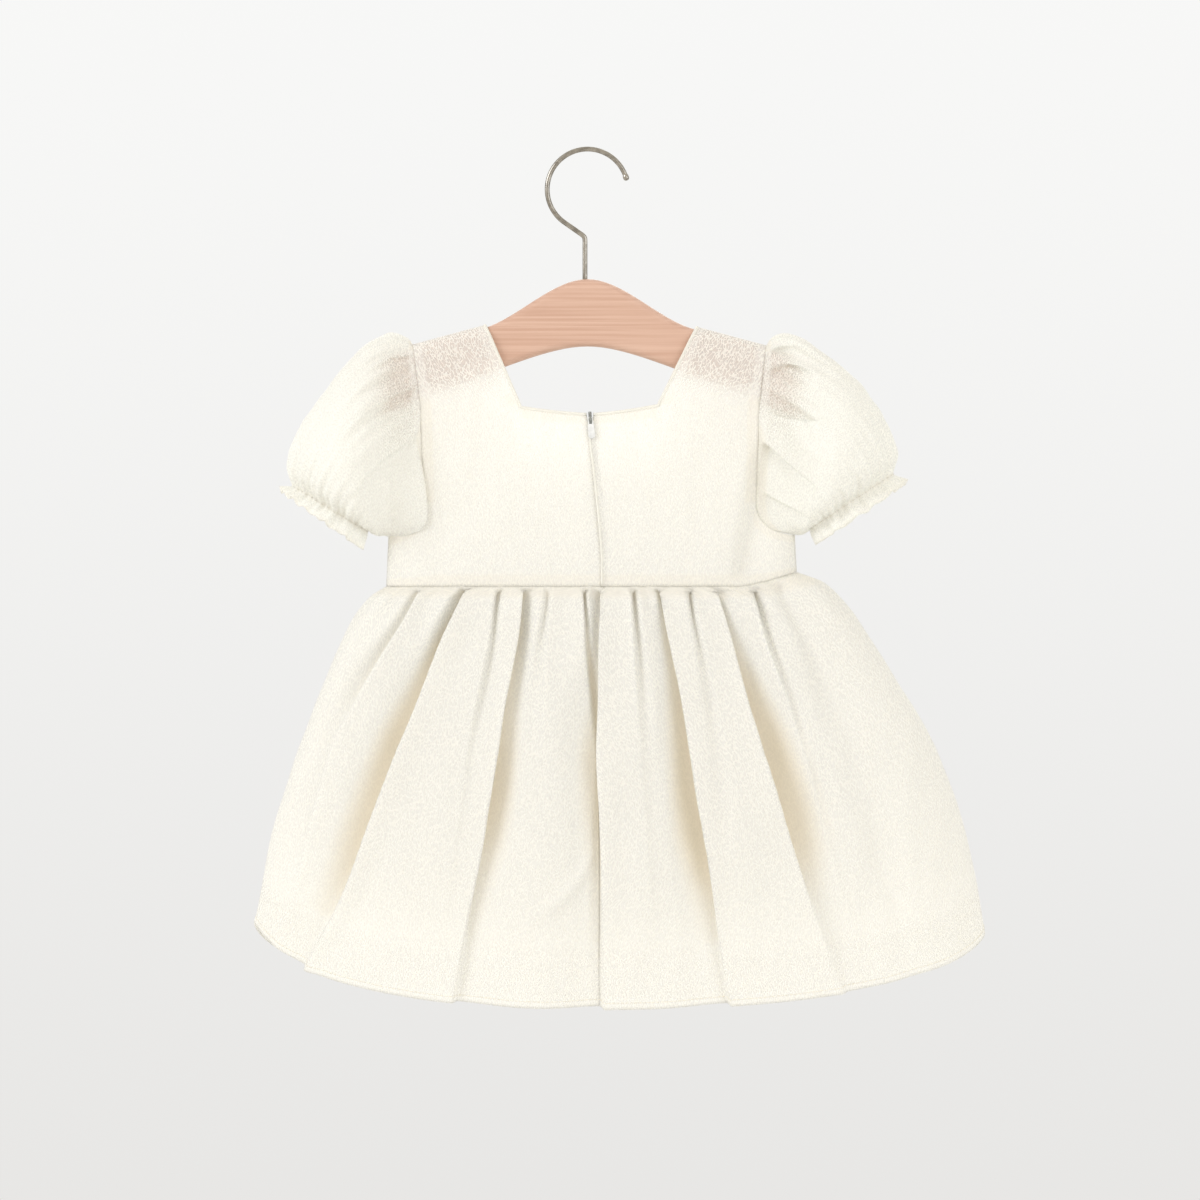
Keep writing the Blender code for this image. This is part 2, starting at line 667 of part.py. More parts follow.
def skirt_height(share, waist_x, x, nearness):
    """Height of a skirt point; the hem is lower in the middle of each face than at the sides."""
    side = HEM_LEFT_Z if x < look_up(SKIRT_CENTRE, "share", share, "x") else HEM_RIGHT_Z
    hem = mix(side, HEM_CENTRE_Z, nearness ** HEM_ROUNDING)
    return mix(waist_height(waist_x), hem, share)


def skirt_grid():
    left_waist = SIDES[0]["side_waist"]
    right_waist = SIDES[1]["side_waist"]
    columns = 4 * SKIRT_QUARTER
    rings = []
    for section in SKIRT_SECTIONS:
        left = left_waist + section["left_flare"]
        right = right_waist + section["right_flare"]
        rings.append(body_ring(section["share"], left, right, section["back_depth"],
                               section["front_depth"], SKIRT_QUARTER))
    points = {}
    for row, section in enumerate(SKIRT_SECTIONS):
        share = section["share"]
        for column in range(columns):
            place = rings[row][column][0]
            beside = rings[row][(column + 1) % columns][0] - rings[row][column - 1][0]
            outward = Vector((-beside.y, beside.x, 0.0)).normalized()
            folds = BACK_FOLDS if place.y < 0 else FRONT_FOLDS
            pressed = fold_depth(folds, place.x, share) * soft_step(abs(place.y) / SIDE_CALM)
            gather = section["gather"] * math.cos(2.0 * math.pi * column / GATHER_COLUMNS)
            height = skirt_height(share, rings[0][column][0].x, place.x, rings[-1][column][1])
            height += HEM_LIFT * pressed * share * share
            points[(column, row)] = place + outward * (gather - pressed) + Vector((0.0, 0.0, height))
    cells = []
    for column in range(columns):
        beside = (column + 1) % columns
        for row in range(len(SKIRT_SECTIONS) - 1):
            cells.append((column, [(column, row), (beside, row), (beside, row + 1), (column, row + 1)]))
    normals = surface_normals(points, [cell for _, cell in cells])
    for column in range(columns):
        normal = normals[(column, 0)]
        normals[(column, 0)] = Vector((normal.x, normal.y, 0.0)).normalized()
    return points, normals, cells


def skirt_panel(name, first, last, grid, columns, rows, thickness, waist_drop, material, collection):
    """Part of a skirt or lining between two columns, kept back from its side seams and the waist."""
    points, normals, cells = grid
    shifts = {}
    for row in range(rows):
        for column, beside in ((first, first + 1), (last, last - 1)):
            key = (column % columns, row)
            shifts[key] = towards(points, key, (beside % columns, row), SEAM_SHIFT)
    for column in range(first, last + 1):
        key = (column % columns, 0)
        shifts[key] = shifts.get(key, Vector()) - Vector((0.0, 0.0, waist_drop))
    own = [cell for index, cell in cells if first <= index < last]
    return cloth_wall(name, points, normals, own, shifts, thickness, material, collection)


def lining_grid(skirt):
    """Smooth slip inside the skirt, seated just inside its waist."""
    skirt_points, skirt_normals, _ = skirt
    columns = 4 * SKIRT_QUARTER // LINING_STEP
    seat = CLOTH + 2.0 * SKIRT_SECTIONS[0]["gather"] + LINING_SEAT
    rings = []
    for section in LINING_SECTIONS:
        share = section["share"]
        left_flare = look_up(SKIRT_SECTIONS, "share", share, "left_flare")
        right_flare = look_up(SKIRT_SECTIONS, "share", share, "right_flare")
        left = SIDES[0]["side_waist"] - seat + section["spread"] * left_flare
        right = SIDES[1]["side_waist"] - seat + section["spread"] * right_flare
        rings.append(body_ring(share, left, right, section["back_depth"], section["front_depth"],
                               SKIRT_QUARTER // LINING_STEP))
    points = {}
    for column in range(columns):
        above = (column * LINING_STEP, 0)
        points[(column, 0)] = skirt_points[above] - skirt_normals[above] * seat
        for row, section in enumerate(LINING_SECTIONS, start=1):
            place = rings[row - 1][column][0]
            height = skirt_height(section["share"], points[(column, 0)].x, place.x, rings[-1][column][1])
            points[(column, row)] = place + Vector((0.0, 0.0, height))
    cells = []
    for column in range(columns):
        beside = (column + 1) % columns
        for row in range(len(LINING_SECTIONS)):
            cells.append((column, [(column, row), (beside, row), (beside, row + 1), (column, row + 1)]))
    normals = surface_normals(points, [cell for _, cell in cells])
    return points, normals, cells


def flat_mesh(name, outlines, half_thickness, matrix):
    """Plate from flat outlines, the second one a hole, placed by a matrix."""
    curve = bpy.data.curves.new(name, "CURVE")
    curve.dimensions = "2D"
    curve.fill_mode = "BOTH"
    curve.extrude = half_thickness * MM
    for outline in outlines:
        spline = curve.splines.new("POLY")
        spline.points.add(len(outline) - 1)
        for point, (x, y) in zip(spline.points, outline):
            point.co = (x * MM, y * MM, 0.0, 1.0)
        spline.use_cyclic_u = True
    return curve_mesh(name, curve, matrix)


def curve_mesh(name, curve, matrix):
    """Closed mesh of a curve, its caps welded on."""
    source = bpy.data.objects.new(name, curve)
    bpy.context.scene.collection.objects.link(source)
    bpy.context.view_layer.update()
    graph = bpy.context.evaluated_depsgraph_get()
    mesh = bpy.data.meshes.new_from_object(source.evaluated_get(graph))
    bpy.data.objects.remove(source)
    shell = bmesh.new()
    shell.from_mesh(mesh)
    bmesh.ops.remove_doubles(shell, verts=shell.verts, dist=0.00001)
    bmesh.ops.transform(shell, matrix=matrix, verts=shell.verts)
    bmesh.ops.recalc_face_normals(shell, faces=shell.faces)
    shell.to_mesh(mesh)
    shell.free()
    return mesh


def bezier(start, first_handle, last_handle, end, steps):
    """Points along a Bezier arc, without its last one."""
    points = []
    for step in range(steps):
        t = step / steps
        s = 1.0 - t
        weights = (s * s * s, 3.0 * s * s * t, 3.0 * s * t * t, t * t * t)
        corners = (start, first_handle, last_handle, end)
        points.append(tuple(sum(w * corner[axis] for w, corner in zip(weights, corners)) for axis in (0, 1)))
    return points


def wood_top(x):
    """Upper edge: a raised middle that runs into straight shoulders."""
    line = SHOULDER_START_Z + SHOULDER_SLOPE * (x - SHOULDER_START_X)
    if x >= DOME_REACH:
        return line
    end = SHOULDER_START_Z + SHOULDER_SLOPE * (DOME_REACH - SHOULDER_START_X)
    s = x / DOME_REACH
    fall = s * s * (3.0 - 2.0 * s)
    slope = (s * s * s - s * s) * SHOULDER_SLOPE * DOME_REACH
    return mix(WOOD_TOP, end, fall) + slope


def wood_bottom(x):
    return ARCH_TOP - ARCH_SLOPE * (math.hypot(x, ARCH_ROUND) - ARCH_ROUND)


def hanger_wood(material, collection, cutters):
    shoulder_end = (SHOULDER_END_X, wood_top(SHOULDER_END_X))
    turn = math.radians(TOE_TURN)
    toe_x = NOSE_X - TOE_RADIUS
    toe_end_x = toe_x + TOE_RADIUS * math.cos(turn)
    toe_z = wood_bottom(toe_end_x) + TOE_RADIUS * math.sin(turn)
    half = [(x, wood_top(x)) for x in (0.0, 12.0, 24.0, 36.0, 48.0, 60.0, DOME_REACH)]
    half += bezier(shoulder_end, (SHOULDER_END_X + 18.0, shoulder_end[1] - 4.9),
                   (NOSE_X, toe_z + 18.0), (NOSE_X, toe_z), 6)
    toe_steps = 7
    for step in range(toe_steps + 1):
        angle = turn * step / toe_steps
        half.append((toe_x + TOE_RADIUS * math.cos(angle), toe_z - TOE_RADIUS * math.sin(angle)))
    half += [(x, wood_bottom(x)) for x in (110.0, 85.0, 60.0, 42.0, 28.0, 14.0, 0.0)]
    outline = half + [(-x, z) for x, z in reversed(half[1:-1])]
    upright = Matrix.Rotation(math.radians(90.0), 4, "X")
    mesh = flat_mesh("hanger_wood", [outline], WOOD_THICKNESS / 2.0, upright)
    plate = bmesh.new()
    plate.from_mesh(mesh)
    bmesh.ops.dissolve_limit(plate, angle_limit=math.radians(0.1), verts=plate.verts, edges=plate.edges)
    plate.to_mesh(mesh)
    plate.free()
    wood = add_object("hanger_wood", mesh, material, collection)
    rounding = wood.modifiers.new("rounded edges", "BEVEL")
    rounding.width = WOOD_BEVEL * MM
    rounding.segments = 3
    rounding.limit_method = "ANGLE"
    rounding.use_clamp_overlap = False
    rounding.angle_limit = math.radians(60.0)
    drill = bmesh.new()
    hole_top = WOOD_TOP + 3.0
    hole_bottom = WOOD_TOP - STEM_DEPTH - 0.5
    bmesh.ops.create_cone(drill, cap_ends=True, segments=12, radius1=BORE_RADIUS * MM,
                          radius2=BORE_RADIUS * MM, depth=(hole_top - hole_bottom) * MM)
    centre = Vector((STEM_X, 0.0, (hole_top + hole_bottom) / 2.0)) * MM
    bmesh.ops.translate(drill, verts=drill.verts, vec=centre)
    drill_mesh = bpy.data.meshes.new("hook_bore")
    drill.to_mesh(drill_mesh)
    drill.free()
    cutter = add_object("hook_bore", drill_mesh, material, cutters)
    cutter.hide_render = True
    cutter.display_type = "WIRE"
    bore = wood.modifiers.new("hook bore", "BOOLEAN")
    bore.operation = "DIFFERENCE"
    bore.solver = "EXACT"
    bore.object = cutter
    return wood


def hanger_hook(material, collection):
    """Bent wire: a round hook with a thickened tip, a slanting neck and a straight stem in the wood."""
    centre_z = WIRE_RADIUS - HOOK_RADIUS
    route = []
    steps = 24
    for step in range(steps + 1):
        angle = math.radians(mix(HOOK_TIP_ANGLE, HOOK_TURN_END, step / steps))
        route.append((HOOK_RADIUS * math.cos(angle), centre_z + HOOK_RADIUS * math.sin(angle)))
    end = math.radians(HOOK_TURN_END)
    way = (-math.sin(end), math.cos(end))
    run = (STEM_X - route[-1][0]) / way[0]
    corner = (STEM_X, route[-1][1] + way[1] * run)
    bend_start = (corner[0] - way[0] * NECK_FILLET, corner[1] - way[1] * NECK_FILLET)
    bend_end = (STEM_X, corner[1] - NECK_FILLET)
    route += bezier(bend_start, corner, corner, bend_end, 4)
    route += [bend_end, (STEM_X, WOOD_TOP + 4.0), (STEM_X, WOOD_TOP - STEM_DEPTH)]
    curve = bpy.data.curves.new("hanger_hook", "CURVE")
    curve.dimensions = "3D"
    curve.bevel_depth = WIRE_RADIUS * MM
    curve.bevel_resolution = 2
    curve.use_fill_caps = True
    spline = curve.splines.new("POLY")
    tip = [(0.55, -1.6), (1.0, -1.1), (1.22, 0.0), (1.2, 1.2), (1.0, 2.0)]
    tip_angle = math.radians(HOOK_TIP_ANGLE)
    along = (-math.sin(tip_angle), math.cos(tip_angle))
    start = route[0]
    places = [(start[0] + along[0] * run, start[1] + along[1] * run, radius) for radius, run in tip]
    places += [(x, z, 1.0) for x, z in route[1:]]
    spline.points.add(len(places) - 1)
    for point, (x, z, radius) in zip(spline.points, places):
        point.co = (x * MM, 0.0, z * MM, 1.0)
        point.radius = radius
    mesh = curve_mesh("hanger_hook", curve, Matrix.Identity(4))
    return add_object("hanger_hook", mesh, material, collection)


def zip_frame(grid):
    """Place and directions of the slider: across, out of the cloth and up the zip."""
    points = grid[0]
    low = points[bodice_key(0, NECK_ROW - 1)]
    high = points[bodice_key(0, NECK_ROW)]
    up = (high - low).normalized()
    out = Vector((0.0, -1.0, 0.0))
    out = (out - up * out.dot(up)).normalized()
    across = up.cross(out)
    place = low + up * ((PIVOT_Z - low.z) / up.z)
    return place, across, out, up


def frame_matrix(place, x_axis, y_axis, z_axis):
    rotation = Matrix((x_axis, y_axis, z_axis)).transposed().to_4x4()
    return Matrix.Translation(place * MM) @ rotation


def zip_chain(grid, material, collection):
    """Flat coil and tape inside the back seam, from the slider down to the waist."""
    points, normals, _ = grid
    place, across, out, up = zip_frame(grid)
    spine = [(points[bodice_key(0, row)], normals[bodice_key(0, row)]) for row in range(NECK_ROW)]
    spine.append((place - up * (SLIDER_HALF_LENGTH + CHAIN_CLEARANCE), normals[bodice_key(0, NECK_ROW - 1)]))
    strip = {}
    facing = {}
    for row, (point, normal) in enumerate(spine):
        inset = point - normal * CHAIN_INSET
        if row == 0:
            inset.z += WAIST_SHIFT + CHAIN_CLEARANCE
        strip[(0, row)] = inset + Vector((CHAIN_HALF_WIDTH, 0.0, 0.0))
        strip[(1, row)] = inset - Vector((CHAIN_HALF_WIDTH, 0.0, 0.0))
        facing[(0, row)] = normal
        facing[(1, row)] = normal
    cells = [((0, row), (0, row + 1), (1, row + 1), (1, row)) for row in range(len(spine) - 1)]
    return cloth_wall("zip_chain", strip, facing, cells, {}, CHAIN_THICKNESS, material, collection)


def zip_slider(grid, material, collection, cutters):
    """Narrow slider body with a bridge that the pull tab hangs in."""
    place, across, out, up = zip_frame(grid)
    body = bmesh.new()
    bmesh.ops.create_cube(body, size=1.0)
    depth = SLIDER_INSIDE + SLIDER_OUTSIDE
    size = Vector((2.0 * SLIDER_HALF_WIDTH, depth, 2.0 * SLIDER_HALF_LENGTH)) * MM
    bmesh.ops.scale(body, vec=size, verts=body.verts)
    bmesh.ops.bevel(body, geom=body.edges[:], offset=SLIDER_CHAMFER * MM, segments=1, affect="EDGES")
    middle = place + out * ((SLIDER_OUTSIDE - SLIDER_INSIDE) / 2.0)
    bmesh.ops.transform(body, matrix=frame_matrix(middle, across, -out, up), verts=body.verts)
    bmesh.ops.recalc_face_normals(body, faces=body.faces)
    mesh = bpy.data.meshes.new("zip_slider")
    body.to_mesh(mesh)
    body.free()
    slider = add_object("zip_slider", mesh, material, collection)
    rim = SLIDER_OUTSIDE + BRIDGE_GAP + BRIDGE_BAR
    base = SLIDER_OUTSIDE - BRIDGE_ROOT
    flat = BRIDGE_HALF_LENGTH - BRIDGE_CHAMFER
    outer = [(-BRIDGE_HALF_LENGTH, base), (BRIDGE_HALF_LENGTH, base),
             (BRIDGE_HALF_LENGTH, rim - BRIDGE_CHAMFER), (flat, rim),
             (-flat, rim), (-BRIDGE_HALF_LENGTH, rim - BRIDGE_CHAMFER)]
    reach = BRIDGE_HALF_LENGTH - BRIDGE_BAR
    sill = SLIDER_OUTSIDE - BRIDGE_ROOT / 2.0
    inner = [(-reach, sill), (reach, sill), (reach, rim - BRIDGE_BAR), (-reach, rim - BRIDGE_BAR)]
    bridge_mesh = flat_mesh("slider_bridge", [outer, inner], BRIDGE_HALF_WIDTH,
                            frame_matrix(place, up, out, up.cross(out)))
    bridge = add_object("slider_bridge", bridge_mesh, material, cutters)
    bridge.hide_render = True
    bridge.display_type = "WIRE"
    union = slider.modifiers.new("bridge", "BOOLEAN")
    union.operation = "UNION"
    union.solver = "EXACT"
    union.object = bridge
    return slider


def zip_pull_tab(grid, material, collection):
    """Teardrop tab whose crossbar turns under the slider's bridge."""
    place, across, out, up = zip_frame(grid)
    round_centre = TAB_END_RADIUS - TAB_LENGTH
    outer = [(TAB_TOP_HALF_WIDTH, TAB_CROSSBAR), (-TAB_TOP_HALF_WIDTH, TAB_CROSSBAR)]
    arc_steps = 8
    for step in range(arc_steps + 1):
        angle = math.pi + math.pi * step / arc_steps
        outer.append((TAB_END_RADIUS * math.cos(angle), round_centre + TAB_END_RADIUS * math.sin(angle)))
    inner = [(TAB_HOLE_HALF_WIDTH, -TAB_CROSSBAR), (-TAB_HOLE_HALF_WIDTH, -TAB_CROSSBAR),
             (-TAB_HOLE_HALF_WIDTH, -TAB_HOLE_END), (TAB_HOLE_HALF_WIDTH, -TAB_HOLE_END)]
    pivot = place + out * TAB_PIVOT_OUT
    hung = frame_matrix(Vector(), across, up, -out)
    mesh = flat_mesh("zip_pull_tab", [outer, inner], TAB_THICKNESS / 2.0, hung)
    tab = add_object("zip_pull_tab", mesh, material, collection)
    tab.location = pivot * MM
    return tab


def build():
    for thing in list(bpy.data.objects):
        bpy.data.objects.remove(thing)
    dress = bpy.data.collections.new("lace_dress")
    cutters = bpy.data.collections.new("cutters")
    bpy.context.scene.collection.children.link(dress)
    bpy.context.scene.collection.children.link(cutters)

    lace = make_material("cream embossed lace", (0.93, 0.90, 0.82), 0.7)
    sheer = make_material("cream sheer lace", (0.94, 0.91, 0.84), 0.7)
    slip = make_material("cream plain lining", (0.95, 0.93, 0.87), 0.6)
    wood = make_material("pale wood", (0.68, 0.43, 0.29), 0.45)
    steel = make_material("brushed steel wire", (0.42, 0.41, 0.39), 0.35, 1.0)
    coil = make_material("white nylon zip", (0.90, 0.89, 0.86), 0.5)
    metal = make_material("dark zip metal", (0.20, 0.21, 0.22), 0.4, 1.0)
    enamel = make_material("white coated tab", (0.90, 0.90, 0.88), 0.35)

    hanger_wood(wood, dress, cutters)
    hanger_hook(steel, dress)

    bodice = bodice_grid()
    bodice_panel("bodice_back_left", 0, QUARTER, bodice, lace, dress)
    bodice_panel("bodice_front", QUARTER, 3 * QUARTER, bodice, lace, dress)
    bodice_panel("bodice_back_right", 3 * QUARTER, 4 * QUARTER, bodice, lace, dress)
    sleeve("sleeve_left", -1, LEFT_RINGS, LEFT_PLEATS, bodice, sheer, dress)
    sleeve("sleeve_right", 1, RIGHT_RINGS, RIGHT_PLEATS, bodice, sheer, dress)

    skirt = skirt_grid()
    columns = 4 * SKIRT_QUARTER
    rows = len(SKIRT_SECTIONS)
    for name, first, last in (
        ("skirt_back_left", 0, SKIRT_QUARTER),
        ("skirt_front", SKIRT_QUARTER, 3 * SKIRT_QUARTER),
        ("skirt_back_right", 3 * SKIRT_QUARTER, columns),
    ):
        skirt_panel(name, first, last, skirt, columns, rows, CLOTH, WAIST_SHIFT, lace, dress)

    lining = lining_grid(skirt)
    lining_columns = columns // LINING_STEP
    lining_rows = len(LINING_SECTIONS) + 1
    quarter = lining_columns // 4
    for name, first, last in (
        ("lining_back_left", 0, quarter),
        ("lining_front", quarter, 3 * quarter),
        ("lining_back_right", 3 * quarter, lining_columns),
    ):
        skirt_panel(name, first, last, lining, lining_columns, lining_rows, CLOTH, WAIST_SHIFT, slip, dress)

    zip_chain(bodice, coil, dress)
    zip_slider(bodice, metal, dress, cutters)
    zip_pull_tab(bodice, enamel, dress)


build()
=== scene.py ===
# %% [markdown]
# # A toddler's lace dress on a wooden hanger
# The CAD model is the construction: every panel, the hanger and the zip, at their real size. This
# lesson gives them their looks. Each panel of cloth is made again as a fine thin shell on the same
# form, with softer folds, and the hanger and the zip get smooth edges and real finishes.

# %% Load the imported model
import bisect
import json
import math

import bmesh
import bpy
from mathutils import Matrix, Vector, noise

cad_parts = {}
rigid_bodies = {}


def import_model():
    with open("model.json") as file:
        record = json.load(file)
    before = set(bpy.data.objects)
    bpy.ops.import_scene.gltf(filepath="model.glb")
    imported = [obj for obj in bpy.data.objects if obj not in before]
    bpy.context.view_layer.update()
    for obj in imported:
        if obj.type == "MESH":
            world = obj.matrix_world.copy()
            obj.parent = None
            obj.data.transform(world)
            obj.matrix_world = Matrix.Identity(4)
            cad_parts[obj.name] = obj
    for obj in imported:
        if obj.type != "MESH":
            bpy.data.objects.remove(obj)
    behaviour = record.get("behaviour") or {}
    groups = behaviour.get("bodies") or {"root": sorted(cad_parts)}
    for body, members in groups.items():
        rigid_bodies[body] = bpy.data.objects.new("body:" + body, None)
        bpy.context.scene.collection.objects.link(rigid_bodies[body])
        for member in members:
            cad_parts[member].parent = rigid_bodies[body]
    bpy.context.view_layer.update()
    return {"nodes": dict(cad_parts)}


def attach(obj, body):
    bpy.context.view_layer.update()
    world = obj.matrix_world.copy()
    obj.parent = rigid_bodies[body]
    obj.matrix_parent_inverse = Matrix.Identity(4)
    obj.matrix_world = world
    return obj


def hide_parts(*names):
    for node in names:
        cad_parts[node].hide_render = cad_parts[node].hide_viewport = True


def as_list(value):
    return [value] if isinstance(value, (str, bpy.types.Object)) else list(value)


for thing in list(bpy.data.objects):
    bpy.data.objects.remove(thing)
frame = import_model()
MM = 0.001
print("CAD nodes:", ", ".join(sorted(frame["nodes"])))

# %% [markdown]
# ## Sizes as tables
# A maker works from a few body measures, so the garment is described by short tables: one row for
# each section, fold or crease, in millimetres. A smooth curve through the rows gives every place in
# between. The slopes are limited so that a curve never overshoots its rows.

# %% Tables and smooth curves
def table(columns, *rows):
    """Rows of a table, each a dictionary with the named columns."""
    names = columns.split()
    return [dict(zip(names, row)) for row in rows]


def mix(first, last, share):
    """Value that lies a share of the way from the first to the last."""
    return first + (last - first) * share


def soft_step(share):
    """Rise from 0 to 1 with a soft start and a soft end, level before and after."""
    share = min(1.0, max(0.0, share))
    return share * share * (3.0 - 2.0 * share)


def smooth_curve(rows, place, column):
    """Function that gives a column's value at any place, on a smooth curve through the rows."""
    places = [row[place] for row in rows]
    values = [row[column] for row in rows]
    spans = [last - first for first, last in zip(places, places[1:])]
    steps = [(last - first) / span for first, last, span in zip(values, values[1:], spans)]
    slopes = [steps[0]]
    for before, after in zip(steps, steps[1:]):
        level = before * after <= 0.0
        slopes.append(0.0 if level else 2.0 * before * after / (before + after))
    slopes.append(steps[-1])

    def value(wanted):
        number = min(max(bisect.bisect_right(places, wanted) - 1, 0), len(steps) - 1)
        t = min(1.0, max(0.0, (wanted - places[number]) / spans[number]))
        rise = (1.0 - t) * slopes[number] - t * slopes[number + 1]
        straight = mix(values[number], values[number + 1], t)
        bend = (1.0 - 2.0 * t) * (values[number] - values[number + 1])
        return straight + t * (1.0 - t) * (bend + rise * spans[number])

    return value


def hollow(offset, reach_left, reach_right):
    """Depth of a soft crease beside its valley, as a share of the depth in the valley."""
    reach = reach_left if offset < 0 else reach_right
    return math.exp(-((abs(offset) / reach) ** 1.7))


EDGE_DROP = 4.6           # width over which the cloth drops from a crisp edge
EDGE_ROLL = 4.0           # width of the roll of cloth that forms the edge
EDGE_CROWN = 0.12         # how far the roll stands up, as a share of the fold's depth


def lapped_fold(beside, reach, lap):
    """Fold whose edge laps over its own valley: its depth as a share, and its sideways shift.

    beside is the distance from the edge, positive on the valley's side.
    """
    if beside < 0.0:
        share = soft_step(1.0 + beside / EDGE_DROP)
    else:
        share = math.exp(-((beside / reach) ** 2.2))
    roll = math.exp(-(((beside + EDGE_DROP + 1.0) / EDGE_ROLL) ** 2))
    return share - EDGE_CROWN * roll, lap * roll


test_curve = smooth_curve(table("at value", (0, 0), (1, 2), (3, 2)), "at", "value")
print("Smooth curve at 0.5, 1 and 2:", [round(test_curve(at), 3) for at in (0.5, 1, 2)])

# %% [markdown]
# ## A grid that becomes cloth
# Cloth is a thin sheet, so each panel starts as a flat grid with UVs. Its points are then moved by
# the panel's own formula. The UVs are measured along the finished surface in metres of real cloth,
# so that a woven or embossed pattern keeps its size on every fold. Solidify gives the wall its
# thickness, inwards from the outer face.

# %% Make a piece from a grid
def measure_uvs(points, columns, rows):
    """Distance along the cloth for each grid point: across from the middle, and up from row 0."""
    across = {}
    up = {}
    for row in range(rows + 1):
        across[(columns // 2, row)] = 0.0
        for column in range(columns // 2 + 1, columns + 1):
            step = (points[(column, row)] - points[(column - 1, row)]).length
            across[(column, row)] = across[(column - 1, row)] + step
        for column in range(columns // 2 - 1, -1, -1):
            step = (points[(column, row)] - points[(column + 1, row)]).length
            across[(column, row)] = across[(column + 1, row)] - step
    for column in range(columns + 1):
        up[(column, 0)] = 0.0
        for row in range(1, rows + 1):
            step = (points[(column, row)] - points[(column, row - 1)]).length
            up[(column, row)] = up[(column, row - 1)] + step
    return across, up


def finish_mesh(name, shell, materials):
    """Object with the mesh's place in its points, smooth all over."""
    mesh = bpy.data.meshes.new(name)
    shell.to_mesh(mesh)
    shell.free()
    for face in mesh.polygons:
        face.use_smooth = True
    for material in materials:
        mesh.materials.append(material)
    piece = bpy.data.objects.new(name, mesh)
    bpy.context.scene.collection.objects.link(piece)
    return piece


def grid_piece(name, columns, rows, place, material, keep=None, closed=False, flip=False, layers=None):
    """Sheet from a grid: place(column, row) gives each point in millimetres.

    keep(column, row) says which squares stay, and closed joins edges that meet. layers(column, row)
    says how many layers of cloth lie there, as in a seam, hem or pleat; on the skirt it also carries
    painted shade in the folds' valleys.
    """
    points = {}
    for column in range(columns + 1):
        for row in range(rows + 1):
            points[(column, row)] = place(column, row)
    across, up = measure_uvs(points, columns, rows)
    shell = bmesh.new()
    layer = shell.loops.layers.uv.new("cloth")
    layer_count_and_shade = shell.verts.layers.float.new("layers")
    bmesh.ops.create_grid(shell, x_segments=columns, y_segments=rows, size=0.5, calc_uvs=True)
    keys = {}
    for vert in shell.verts:
        keys[vert] = (round((vert.co.x + 0.5) * columns), round((vert.co.y + 0.5) * rows))
    for face in shell.faces:
        for loop in face.loops:
            key = keys[loop.vert]
            loop[layer].uv = (across[key] * MM, up[key] * MM)
    if keep:
        outside = []
        for face in shell.faces:
            middle = [sum(keys[vert][axis] for vert in face.verts) / len(face.verts) for axis in (0, 1)]
            if not keep(*middle):
                outside.append(face)
        bmesh.ops.delete(shell, geom=outside, context="FACES")
    for vert in shell.verts:
        vert.co = points[keys[vert]] * MM
        # layers of cloth, and on the skirt painted shade in the folds' valleys
        vert[layer_count_and_shade] = layers(*keys[vert]) if layers else 1.0
    if closed:
        bmesh.ops.remove_doubles(shell, verts=shell.verts, dist=0.00001)
    if flip:
        bmesh.ops.reverse_faces(shell, faces=shell.faces)
    area = sum(face.calc_area() for face in shell.faces)
    piece = finish_mesh(name, shell, [material])
    print(f"{name}: {len(piece.data.polygons)} faces, {area:.4f} square metres")
    return piece


def tube_piece(name, route, sides, material):
    """Closed tube along a route of (point, out, half width, half height)."""
    last = len(route) - 1

    def place(column, row):
        point, out, half_width, half_height = route[column]
        ahead = route[min(column + 1, last)][0]
        behind = route[max(column - 1, 0)][0]
        along = (ahead - behind).normalized()
        side = along.cross(out).normalized()
        up = side.cross(along)
        turn = 2.0 * math.pi * row / sides
        return point + side * (half_width * math.cos(turn)) + up * (half_height * math.sin(turn))

    piece = grid_piece(name, last, sides, place, material, closed=True)
    shell = bmesh.new()
    shell.from_mesh(piece.data)
    bmesh.ops.holes_fill(shell, edges=[edge for edge in shell.edges if edge.is_boundary])
    bmesh.ops.recalc_face_normals(shell, faces=shell.faces)
    shell.to_mesh(piece.data)
    shell.free()
    return piece


def thicken(piece, thickness):
    """Wall of cloth, inwards from the outer face."""
    wall = piece.modifiers.new("cloth thickness", "SOLIDIFY")
    wall.thickness = thickness * MM
    wall.offset = -1.0
    return piece

# %% [markdown]
# ## Nodes and colours
# Every finish is made of shader nodes. Two helpers keep the recipes short: one turns a colour as a
# designer writes it into the linear values that light is worked out with, and one adds a node with
# its settings and its links.

# %% Helpers for materials
def linear(hex_color):
    """Linear colour of an sRGB hex value."""
    channels = [int(hex_color[place:place + 2], 16) / 255.0 for place in (1, 3, 5)]
    return [c / 12.92 if c <= 0.04045 else ((c + 0.055) / 1.055) ** 2.4 for c in channels] + [1.0]


def add_node(tree, kind, settings=None, links=None):
    """Node with its settings, by attribute or socket, and with links to its sockets."""
    node = tree.nodes.new(kind)
    for name, value in (settings or {}).items():
        if isinstance(name, str) and hasattr(node, name):
            setattr(node, name, value)
        else:
            node.inputs[name].default_value = value
    for name, socket in (links or {}).items():
        tree.links.new(socket, node.inputs[name])
    return node


def new_material(name):
    """Empty material with its output node."""
    material = bpy.data.materials.new(name)
    material.use_nodes = True
    tree = material.node_tree
    tree.nodes.clear()
    return material, tree, tree.nodes.new("ShaderNodeOutputMaterial")


print("Middle grey #808080 is", round(linear("#808080")[0], 3), "in linear light")
